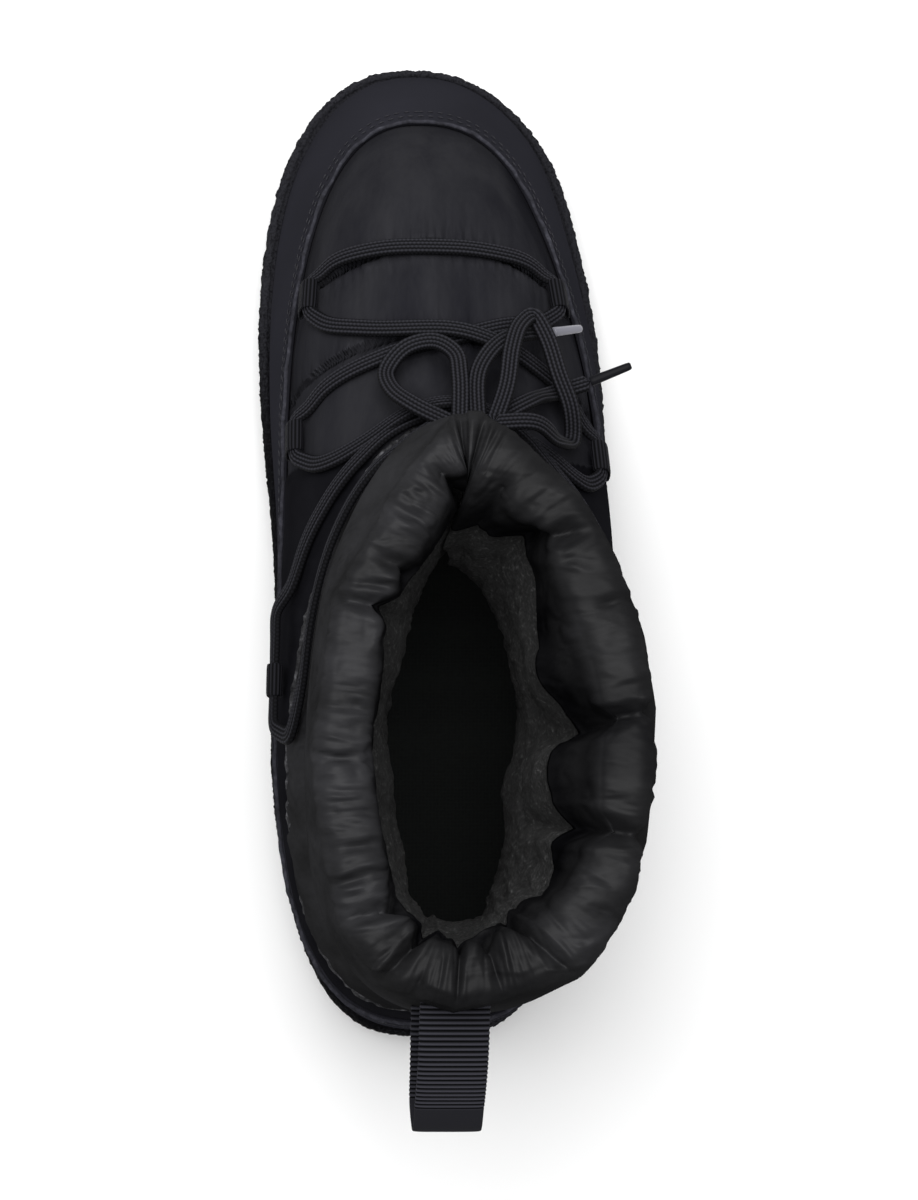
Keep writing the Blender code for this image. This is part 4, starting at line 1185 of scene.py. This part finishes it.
def make_rand(coated, core, thread):
    """The smooth rand: a layer over the form, rounded at its top edge, with cut edge and sewn rows."""
    place, outward = form_field(RAND_COLUMNS)
    share = np.linspace(0.0, 1.0, RAND_HEIGHT_STEPS)[:, None] * np.ones(RAND_COLUMNS)
    groove = sum(0.25 * bell((1 - share) * RAND_HEIGHT_STEPS - drop, 0.7) for drop in STITCH_DROPS)
    swell = 0.35 * np.sin(math.pi * share) - groove
    thick = GAP + RAND_THICKNESS * (1 - 0.30 * step(0.95, 1.0, share)) + swell * step(0.0, 0.08, share)
    level = share * RAND_TOP_LEVEL
    outside = at_level(place, level) + at_level(outward, level) * thick[..., None]
    inside_level = np.linspace(1.0, 0.0, 8)[:, None] * RAND_TOP_LEVEL * np.ones(RAND_COLUMNS)
    inside = at_level(place, inside_level) + at_level(outward, inside_level) * GAP
    for rows in (outside[:1], inside[-1:]):
        rows[..., 2] = cup_floor(rows[..., 1])
    rand = surface("rand_band", np.concatenate([outside, inside]), coated)
    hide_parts("rand")
    edge, out = level_ring(place, RAND_TOP_LEVEL), level_ring(outward, RAND_TOP_LEVEL)
    rise = unit(np.cross(along_ring(edge), out))
    rise = rise * np.sign(rise[:, 2:3])
    turn = full_turn(14)[:, None, None]
    wander = 1 + 0.22 * lumps(edge, 4.0, 41)[:, None] + 0.12 * lumps(edge, 1.6, 42)[:, None]
    tube = edge + out * (1.5 + 0.55 * np.cos(turn)) * wander + rise * (0.1 + 0.42 * np.sin(turn)) * wander
    binding = surface("rand_cut_edge", tube, core)
    sew_round(place, outward, thread)


def level_ring(rings, level):
    """One ring of the form at a level."""
    return at_level(rings, level * np.ones((1, rings.shape[1])))[0]


def sew_round(place, outward, thread):
    """Two rows of stitches under the rand's top edge, each stitch a small bead along the row."""
    rows = []
    for drop in STITCH_DROPS:
        level = RAND_TOP_LEVEL - drop * LEVELS_PER_MM
        ring = level_ring(place, level)
        arc = arc_round(ring)
        at = np.arange(0.0, arc[-1], STITCH_PITCH)
        both = np.concatenate([ring, level_ring(outward, level)], axis=1)
        both = np.concatenate([both, both[:1]])
        spot, normal = np.split(np.stack([np.interp(at, arc, part) for part in both.T], axis=1), 2, axis=1)
        normal = unit(normal)
        ahead = along_ring(spot)
        ahead = unit(ahead - normal * np.sum(ahead * normal, axis=1, keepdims=True))
        rows.append((spot + normal * (GAP + RAND_THICKNESS + 0.05), ahead, normal))
    centre, ahead, normal = (np.concatenate(parts) for parts in zip(*rows))
    stitches = beads("rand_stitches", centre, ahead, normal, STITCH_HALF_SIZES, thread)


def make_footbed(cloth):
    """The footbed: rings inside the wall that shrink to the middle line, cupped a little at the edge."""
    place, outward = form_field(INSOLE_RING_COLUMNS)
    edge = place[0] - outward[0] * (float(form_value("wall", 0.0)) + INSOLE_CLEARANCE)
    table = columns(FOOTBED_COLUMNS, FOOTBED_ROWS)
    flat = towards_middle(edge, table["share"], 0.03)
    z = cup_floor(flat[..., 1]) + table["height"][:, None]
    grid = np.concatenate([flat, z[..., None]], axis=-1)
    footbed = surface("footbed", grid, cloth, wrap=(False, True), folded=True)
    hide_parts("insole")


# The lace follows the same places as its solid, which is a round cord. This flat braid lies closer.
LACE_HALF_WIDTH = 2.35
LACE_HALF_THICKNESS = 1.15
LACE_LIFT = 2.1
TAB_LIFT = 4.3
OVER_LIFT = 5.6
LACE_STEPS = 5
LACE_SPACING = 0.7
# The way of the lace from the front bar to the knot: where its half from the inner side and its half from the
# outer side pass, and which half lies on top where they cross.
LACE_ROWS = {
    "front bar": ((-3.0, 168.2, 81.0), (-3.0, 168.2, 81.0)),
    "front bar side": ((-21.0, 166.8, 77.0), (13.0, 167.4, 79.0)),
    "turn in": ((-30.6, 162.4, 71.5), (25.8, 162.2, 72.6)),
    "front tab": ((-31.4, 155.2, 71.5), (27.6, 154.8, 73.6)),
    "turn out": ((-30.0, 147.8, 75.0), (26.4, 147.8, 77.0)),
    "cross back": ((-18.0, 144.0, 83.5), (16.0, 145.8, 84.6)),
    "first crossing": ((5.0, 141.5, 88.5), (5.0, 142.2, 88.5)),
    "down the vamp": ((25.0, 132.8, 84.5), (-17.0, 135.2, 87.2)),
    "second turn in": ((34.6, 118.6, 81.0), (-32.0, 124.6, 79.6)),
    "second tab": ((36.4, 109.4, 81.5), (-34.0, 115.6, 78.5)),
    "second turn out": ((35.4, 101.2, 86.5), (-32.6, 107.6, 84.0)),
    "up the instep": ((22.0, 108.5, 95.5), (-18.0, 110.5, 95.5)),
    "second crossing": ((1.0, 118.8, 102.0), (1.0, 118.4, 102.2)),
    "round the ankle": ((-24.0, 103.5, 97.0), (28.0, 101.5, 97.5)),
    "ankle side": ((-39.5, 82.0, 90.0), (42.0, 82.0, 90.0)),
    "ankle tab": ((-45.0, 50.0, 84.0), (47.0, 50.0, 84.0)),
    "ankle turn": ((-43.0, 34.0, 91.0), (45.0, 34.0, 91.0)),
    "return": ((-41.0, 50.0, 101.0), (43.0, 50.0, 101.0)),
    "return front": ((-34.0, 85.0, 108.0), (37.0, 85.0, 108.0)),
    "to the knot": ((-9.0, 108.5, 110.5), (19.5, 107.5, 110.0)),
}
ON_TOP = {"inner": "first crossing", "outer": "second crossing"}
TAB_NAMES = {"front tab": "front", "second tab": "middle", "ankle tab": "ankle"}
TAB_STRAIGHT_STEPS = 3
TAB_WIDTH = 8.6
TAB_RIB_PITCH = 0.9
TAB_RADIUS = 2.35
TAB_FLATNESS = 0.72
TAB_TAIL = 2.5
TAB_FALL = 2.0
TAB_HALF_THICKNESS = 0.45

# The bow: its knot, the ways in which cords leave it, and their places in the air over the vamp.
KNOT_CENTRE = (5.0, 117.6, 113.0)
KNOT_RADII = (8.0, 5.0, 5.4)
KNOT_STRAIGHT = 3.5
LEAVING = {
    "lace_inner": (-0.95, -0.20, -0.12),
    "lace_outer": (0.95, -0.35, -0.12),
}
# Where each cord of the bow starts behind the knot's front, measured from the knot's centre.
IN_KNOT = {
    "inner_loop_start": (-2.6, -2.6, -1.4),
    "inner_loop_end": (-2.0, -2.6, 1.6),
    "outer_loop_start": (6.8, -2.4, 1.4),
    "outer_loop_end": (6.6, -2.6, 3.4),
    "inner_end_start": (2.6, -2.6, 0.4),
    "outer_end_start": (6.4, -1.0, -2.2),
}
INNER_LOOP_ROWS = {
    "side": (-9.0, 120.6, 111.0),
    "outer side": (-14.6, 126.2, 104.0),
    "tip": (-15.4, 132.4, 97.6),
    "tip front": (-10.6, 138.2, 97.4),
    "front": (-3.0, 139.8, 98.8),
    "turn": (2.2, 136.0, 102.6),
    "back": (3.2, 129.4, 108.2),
}
OUTER_LOOP_ROWS = {
    "rise": (15.4, 126.0, 110.0),
    "front": (17.2, 137.2, 105.2),
    "near the tip": (20.2, 145.0, 98.6),
    "tip": (23.4, 147.8, 95.0),
    "side": (26.6, 142.4, 95.8),
    "over the end": (30.2, 131.0, 97.2),
    "outer side": (33.4, 122.6, 95.4),
    "lowest": (34.2, 115.4, 91.4),
    "turn": (29.6, 112.6, 103.4),
    "under the collar": (22.0, 115.6, 115.0),
}
INNER_END_ROWS = {
    "over the vamp": (8.6, 131.4, 106.0),
    "under the loop": (13.6, 138.8, 100.8),
    "past the loop": (21.6, 143.2, 93.0),
    "tip": (29.4, 144.8, 86.6),
}
OUTER_END_ROWS = {
    "by the loop": (21.0, 122.6, 105.0),
    "under the loop": (29.6, 127.4, 91.8),
    "tip": (39.0, 130.8, 89.8),
}
INNER_AGLET_END = (37.4, 147.0, 80.8)
OUTER_AGLET_END = (49.8, 135.0, 91.5)


def path_through(places, spacing=None, steps=None):
    """A smooth path through rows of numbers, by steps between rows or at an even spacing."""
    knots = lengths_along(places[:, :3])
    if steps:
        spans = len(places) - 1
        at = np.interp(np.linspace(0, spans, steps * spans + 1), np.arange(len(knots)), knots)
    else:
        at = np.linspace(0.0, knots[-1], int(knots[-1] / spacing) + 2)
    return np.stack([smooth(part, knots, at) for part in places.T], axis=1)


def form_surface():
    """The outer form as coarse faces, ready for finding the nearest place on them."""
    rings = np.array([form_ring(level, 50) for level in np.linspace(0.0, 1.0, 21)])
    levels, points, _ = rings.shape
    index = np.arange(levels * points).reshape(levels, points)
    faces = at_corners(np.concatenate([index, index[:, :1]], axis=1)).reshape(-1, 4)
    return BVHTree.FromPolygons(rings.reshape(-1, 3).tolist(), faces.tolist())


def seat(form, path):
    """Lays places on the form, each held off it by its own lift, and gives the directions off it."""
    found = [form.find_nearest(Vector(row[:3])) for row in path]
    place = np.array([hit[0] for hit in found])
    normal = np.array([hit[1] for hit in found])
    return place + normal * path[:, 3:4], normal


def evened(points, passes):
    """A path with its corners eased by averaging neighbours."""
    points = np.array(points)
    for _ in range(passes):
        points[1:-1] = (points[:-2] + 2 * points[1:-1] + points[2:]) / 4
    return points


def off_knot(way, distance):
    """A place straight out from the knot's surface in one of the named ways."""
    radii = np.array(KNOT_RADII)
    reach = np.array(LEAVING[way])
    reach = reach / np.linalg.norm(reach / radii)
    return np.array(KNOT_CENTRE) + reach + unit(reach / radii ** 2) * distance


def end_taper(count, slope):
    """Shares of a section that shrinks at both ends of a path, by a slope for each step."""
    return np.minimum(1.0, np.minimum(np.arange(count), np.arange(count)[::-1]) * slope + 0.02)


def flat_cord(name, path, off, material, width=1.0):
    """A flat braid along a path: a rounded flat section with four ribs on each face, turned to the off side.

    The section at angle a lies across by the half width times the rounded cosine of a, and off by the half
    thickness times the rounded sine of a, which a ripple of four humps across the width deepens. The width
    is a share of the full width at each place.
    """
    ahead = unit(np.gradient(path, axis=0))
    off = unit(off - ahead * np.sum(off * ahead, axis=1, keepdims=True))
    beside = np.cross(ahead, off)
    turn = full_turn(40)
    across = rounded(np.cos(turn), 0.85)
    rib = 0.72 + 0.28 * np.abs(np.sin(across * 2 * math.pi))
    lift = rounded(np.sin(turn), 0.6) * rib * LACE_HALF_THICKNESS
    across = across * LACE_HALF_WIDTH
    width = np.broadcast_to(width, len(path))[:, None, None]
    section = beside[:, None] * across[None, :, None] * width + off[:, None] * lift[None, :, None]
    grid = path[:, None] + section * end_taper(len(path), 0.5)[:, None, None]
    uv = (lengths_along(path), np.append(across, across[:1]))
    return surface(name, grid, material, wrap=(False, True), uv=uv, caps=True)


def loop_tab(name, middle, ahead, off, material):
    """A webbing loop round the lace: a teardrop drawn out along the lace, its tail running down the wall."""
    up = np.cross(ahead, off)
    up = up if up[2] > 0 else -up
    turn = full_turn(96)
    rise = np.sin(turn)
    tail = np.clip(-rise, 0.0, 1.0)
    rise = np.where(rise < 0, rise * TAB_TAIL, rise)
    stand = TAB_RADIUS * TAB_FLATNESS * np.cos(turn) * (1 - 0.6 * tail) - TAB_FALL * tail ** 2
    line = np.outer(stand, off) + np.outer(TAB_RADIUS * rise, up)
    normal = np.cross(along_ring(line), ahead)
    edge = full_turn(24)
    wide = rounded(np.cos(edge), 0.3) * TAB_WIDTH / 2
    thick = rounded(np.sin(edge), 0.6) * TAB_HALF_THICKNESS
    length = arc_round(line)
    rib = 1 - 0.30 * (0.5 - 0.5 * np.cos(2 * math.pi * length[:-1] / TAB_RIB_PITCH))
    grid = middle + line[:, None] + ahead * wide[None, :, None]
    grid = grid + normal[:, None] * (thick[None] * rib[:, None])[..., None]
    across = np.linspace(0.0, 2 * TAB_WIDTH, len(edge) + 1)
    tab = surface(name, grid[:, ::-1], material, uv=(length, across))
    return tab


def lace_places(side):
    """The places of one half of the lace, each with its lift off the form: more in a tab or on top."""
    rows = []
    for name, (inner, outer) in LACE_ROWS.items():
        lift = OVER_LIFT if name == ON_TOP[side] else TAB_LIFT if name in TAB_NAMES else LACE_LIFT
        rows.append((*(inner if side == "inner" else outer), lift))
    return np.array(rows)


def make_lace(braid, webbing):
    """Both halves of the lace from the front bar to the knot, in one piece, and the tabs that hold it."""
    form = form_surface()
    halves = {}
    held = []
    names = list(LACE_ROWS)
    tabs = [number * LACE_STEPS for number, name in enumerate(names) if name in TAB_NAMES]
    for side in ("inner", "outer"):
        path = path_through(lace_places(side), steps=LACE_STEPS)
        path[:, 3] = np.maximum(path[:, 3], LACE_LIFT)
        path[:, :3] = evened(seat(form, path)[0], 2)
        line, off = seat(form, path)
        off = unit(evened(off, 3))
        for at in tabs:
            low, high = at - TAB_STRAIGHT_STEPS, at + TAB_STRAIGHT_STEPS
            middle, ahead = line[at].copy(), unit(line[high] - line[low])
            stretch = line[low:high + 1] - middle
            line[low:high + 1] = middle + np.outer(stretch @ ahead, ahead)
        for at in tabs:
            ahead = unit(line[at + 1] - line[at - 1])
            place = np.array(form.find_nearest(Vector(line[at]))[0])
            outward = line[at] - place
            outward = unit(outward - ahead * (outward @ ahead))
            tab_side = "inner" if line[at][0] < 0 else "outer"
            node_name = f"lace_tab_{tab_side}_{TAB_NAMES[names[at // LACE_STEPS]]}"
            tab = loop_tab(node_name.replace("lace_tab", "webbing_tab"), line[at], ahead, outward, webbing)
            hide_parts(node_name)
            held.append(line[at])
        leave = f"lace_{side}"
        line = np.concatenate([line, [off_knot(leave, KNOT_STRAIGHT), off_knot(leave, GAP)]])
        off = np.concatenate([off, off[-1:], off[-1:]])
        halves[side] = np.concatenate([line, off], axis=1)
    whole = np.concatenate([halves["inner"][::-1], halves["outer"][1:]])
    both = evened(path_through(whole, spacing=LACE_SPACING), 14)
    away = np.linalg.norm(both[:, None, :3] - np.array(held)[None], axis=-1).min(axis=1)
    lace = flat_cord("lace_bars", both[:, :3], both[:, 3:], braid, 1 - 0.22 * bell(away, 6.5))
    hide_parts("lace")


def from_knot(start, rows, end=None):
    """A smooth path that leaves the knot, follows the rows and may come back to the knot."""
    knot = np.array(KNOT_CENTRE)
    places = [knot + IN_KNOT[start], *map(np.array, rows.values())]
    if end:
        places.append(knot + IN_KNOT[end])
    return evened(path_through(np.array(places), spacing=LACE_SPACING), 8)


def make_bow(braid, clear, dark):
    """The knot's wraps, two loops and two ends with their tips. The flat side of the cord faces up."""
    facing = np.array([-0.05, 0.25, 1.0])
    for side, rows in (("inner", INNER_LOOP_ROWS), ("outer", OUTER_LOOP_ROWS)):
        path = from_knot(f"{side}_loop_start", rows, f"{side}_loop_end")
        loop = flat_cord(f"bow_loop_{side}", path, np.repeat(facing[None], len(path), axis=0), braid)
        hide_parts(f"lace_loop_{side}")
    for side, rows, tip, plastic in (
        ("inner", INNER_END_ROWS, INNER_AGLET_END, clear), ("outer", OUTER_END_ROWS, OUTER_AGLET_END, dark),
    ):
        path = from_knot(f"{side}_end_start", rows)
        end = flat_cord(f"lace_end_braid_{side}", path, np.repeat(facing[None], len(path), axis=0), braid)
        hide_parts(f"lace_end_{side}")
        aglet = make_aglet(f"lace_tip_{side}", path[-1], np.array(tip), plastic)
        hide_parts(f"aglet_{side}")
    make_knot(braid)


# The tip of the lace: the radius at shares of its length.
AGLET_SHARES = (0.0, 0.0, 0.03, 0.10, 0.30, 0.60, 0.90, 0.97, 1.0, 1.0)
AGLET_RADII = (0.02, 1.15, 1.30, 1.32, 1.25, 1.18, 1.10, 1.00, 0.70, 0.02)
AGLET_FLATNESS = 0.82
# The knot's wraps: how many turns, how far inside the knot's radii they lie, and where their middle is.
WRAP_TURNS = 2.15
WRAP_INSET = (4.0, 3.3, 2.6)
WRAP_SHIFT = (0.0, -2.4, -1.4)


def make_aglet(name, start, tip, plastic):
    """A rolled tip: a tube whose radius swells over the lace end, thins along it and rounds off."""
    ahead = unit(tip - start)
    beside = unit(np.cross(ahead, np.array([0.0, 0.0, 1.0])))
    over = np.cross(beside, ahead)
    turn = full_turn(28)
    middle = start + np.outer(AGLET_SHARES, tip - start)
    section = np.outer(np.cos(turn), beside) + np.outer(np.sin(turn) * AGLET_FLATNESS, over)
    grid = middle[:, None] + section[None] * np.array(AGLET_RADII)[:, None, None]
    return surface(name, grid, plastic, wrap=(False, True), caps=True)


def make_knot(braid):
    """The knot: a flat cord wound twice round the knot's middle, leaning from one turn to the next."""
    turn = np.linspace(0.0, 2 * math.pi * WRAP_TURNS, 150)
    share = turn / turn[-1]
    rx, ry, rz = np.array(KNOT_RADII) - np.array(WRAP_INSET)
    lean = -rx + 2 * rx * share + 1.2 * np.sin(turn)
    ring = np.stack([lean, ry * np.cos(turn), rz * np.sin(turn)], axis=1)
    path = ring + np.array(KNOT_CENTRE) + np.array(WRAP_SHIFT)
    knot = flat_cord("bow_knot", path, ring * np.array([0.15, 1.0, 1.0]), braid)
    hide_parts("lace_knot")


# The pull loop: the middle line of its webbing as Y, Z and the sideways lean X.
LOOP_WIDTH = 17.0
LOOP_THICKNESS = 1.5
RIB_PITCH = 1.35
PLAIN_TIP = 9.0
LOOP_ROWS = {
    "upper end": (-34.5, 173.4, -1.2),
    "upper middle": (-49.0, 167.0, -1.4),
    "upper bend": (-59.0, 158.0, -1.8),
    "tip": (-65.0, 149.0, -2.2),
    "lower bend": (-60.5, 146.5, -2.6),
    "lower middle": (-50.0, 153.0, -2.8),
    "lower end": (-34.5, 160.2, -2.8),
}


def make_pull_loop(webbing):
    """Ribbed tape folded into a loop: a flat section carried along a line, with ribs as waves along it."""
    rows = np.array(list(LOOP_ROWS.values()))
    line = path_through(rows[:, [2, 0, 1]], spacing=0.22)
    across = np.array([1.0, 0.0, 0.0])
    off = unit(np.cross(unit(np.gradient(line, axis=0)), across))
    length = lengths_along(line)
    turn = full_turn(40)
    wide = rounded(np.cos(turn), 0.35) * LOOP_WIDTH / 2
    thick = rounded(np.sin(turn), 0.5)
    tip = length[np.argmin(line[:, 1])]
    plain = bell(length - tip, PLAIN_TIP) > 0.37
    wave = np.where(plain, 0.5, 0.5 - 0.5 * np.cos(2 * math.pi * length / RIB_PITCH))
    close = end_taper(len(line), 1.0)
    rib = (LOOP_THICKNESS / 2 + 0.1 - 0.5 * wave) * close
    scallop = (1 - 0.02 * wave) * close
    grid = line[:, None] + across * (wide[None] * scallop[:, None])[..., None]
    grid = grid + off[:, None] * (thick[None] * rib[:, None])[..., None]
    uv = (length, np.linspace(0.0, 2 * LOOP_WIDTH, len(turn) + 1))
    loop = surface("ribbed_pull_loop", grid[:, ::-1], webbing, wrap=(False, True), uv=uv, caps=True)
    mark(loop, "plain", np.repeat(plain, len(turn)))
    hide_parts("pull_loop")


def make_floor():
    """A plain pale floor under the boot."""
    half = 3000.0 * MM
    mesh = bpy.data.meshes.new("floor")
    places = [(-half, -half, 0.0), (half, -half, 0.0), (half, half, 0.0), (-half, half, 0.0)]
    mesh.from_pydata(places, [], [(0, 1, 2, 3)])
    mesh.materials.append(matte_floor())
    floor = bpy.data.objects.new("floor", mesh)
    bpy.context.scene.collection.objects.link(floor)


# Soft boxes: place, what they point at, their two sides and their strength.
LIGHT_ROWS = {
    "overhead": ((-130.0, 220.0, 1690.0), (0.0, 90.0, 60.0), (1500.0, 1500.0), 43.0),
    "over_toe": ((-150.0, 1300.0, 1300.0), (0.0, 120.0, 60.0), (900.0, 600.0), 6.0),
}


def make_lights():
    """Soft boxes round the boot and an even pale surround."""
    for name, (place, target, sides, strength) in LIGHT_ROWS.items():
        lamp = bpy.data.lights.new(name, "AREA")
        lamp.shape = "RECTANGLE"
        lamp.size, lamp.size_y = (side * MM for side in sides)
        lamp.energy = strength
        holder = bpy.data.objects.new(name, lamp)
        holder.location = Vector(place) * MM
        aim = (Vector(target) - Vector(place)).to_track_quat("-Z", "Y")
        holder.rotation_euler = aim.to_euler()
        bpy.context.scene.collection.objects.link(holder)
    world = bpy.data.worlds.new("pale_surround")
    world.use_nodes = True
    back = world.node_tree.nodes["Background"]
    back.inputs["Color"].default_value = hex_colour("#ffffff")
    back.inputs["Strength"].default_value = 0.20
    bpy.context.scene.world = world
    bpy.context.scene.view_settings.view_transform = "Standard"


# The camera looks almost straight down, and the frame takes in the one boot.
CAMERA_PLACE = (-46.0, -47.0, 1060.0)
CAMERA_AIM = (8.6, 83.0, 0.0)
SENSOR = 36.0
FRAME_HEIGHT = 1200.0
FOCAL_PIXELS = 3706.0


def make_camera():
    """The camera over the boot, with the toe towards the top of the frame."""
    data = bpy.data.cameras.new("camera")
    data.sensor_width = SENSOR
    data.lens = SENSOR * FOCAL_PIXELS / FRAME_HEIGHT
    camera = bpy.data.objects.new("camera", data)
    ahead = (Vector(CAMERA_AIM) - Vector(CAMERA_PLACE)).normalized()
    toe = Vector((0.0, 1.0, 0.0))
    up = (toe - ahead * toe.dot(ahead)).normalized()
    turn = Matrix((ahead.cross(up), up, -ahead)).transposed()
    camera.matrix_world = Matrix.Translation(Vector(CAMERA_PLACE) * MM) @ turn.to_4x4()
    bpy.context.scene.collection.objects.link(camera)
    bpy.context.scene.camera = camera


def main():
    """Makes the camera, the finishes, the pieces, the floor and the lights."""
    make_camera()
    braid = lace_braid()
    # Each webbing's two colours are painted shade between its ribs and a painted highlight on their crests.
    tab_tape = ribbed_webbing("tab_grosgrain_webbing", TAB_RIB_PITCH, "#0a0a0b", "#202024")
    loop_tape = ribbed_webbing("loop_grosgrain_webbing", RIB_PITCH, "#070708", "#34343a")
    vamp_nylon = satin_nylon("vamp_satin_nylon", (1.0, 0.10, 1.0), "#1a1a1e", "#262629", "#080809", 0.03)
    shaft_nylon = satin_nylon("shaft_satin_nylon", (0.40, 1.0, 0.40), "#1b1b1c", "#29292b", "#101010", 0.60)
    rubber = crepe_rubber()
    make_lace(braid, tab_tape)
    make_bow(
        braid, lace_tip_plastic("clear_acetate_tip", "#74747c", 0.4),
        lace_tip_plastic("grey_acetate_tip", "#17171a", 0.03),
    )
    make_outsole(rubber)
    make_lugs(rubber)
    make_vamp(vamp_nylon, coated_cloth())
    make_lining(fleece(), make_shaft(shaft_nylon, gathered_tape()))
    make_rand(coated_rand(), bound_edge(), sewing_thread())
    make_footbed(footbed_cloth())
    make_pull_loop(loop_tape)
    make_floor()
    make_lights()


main()
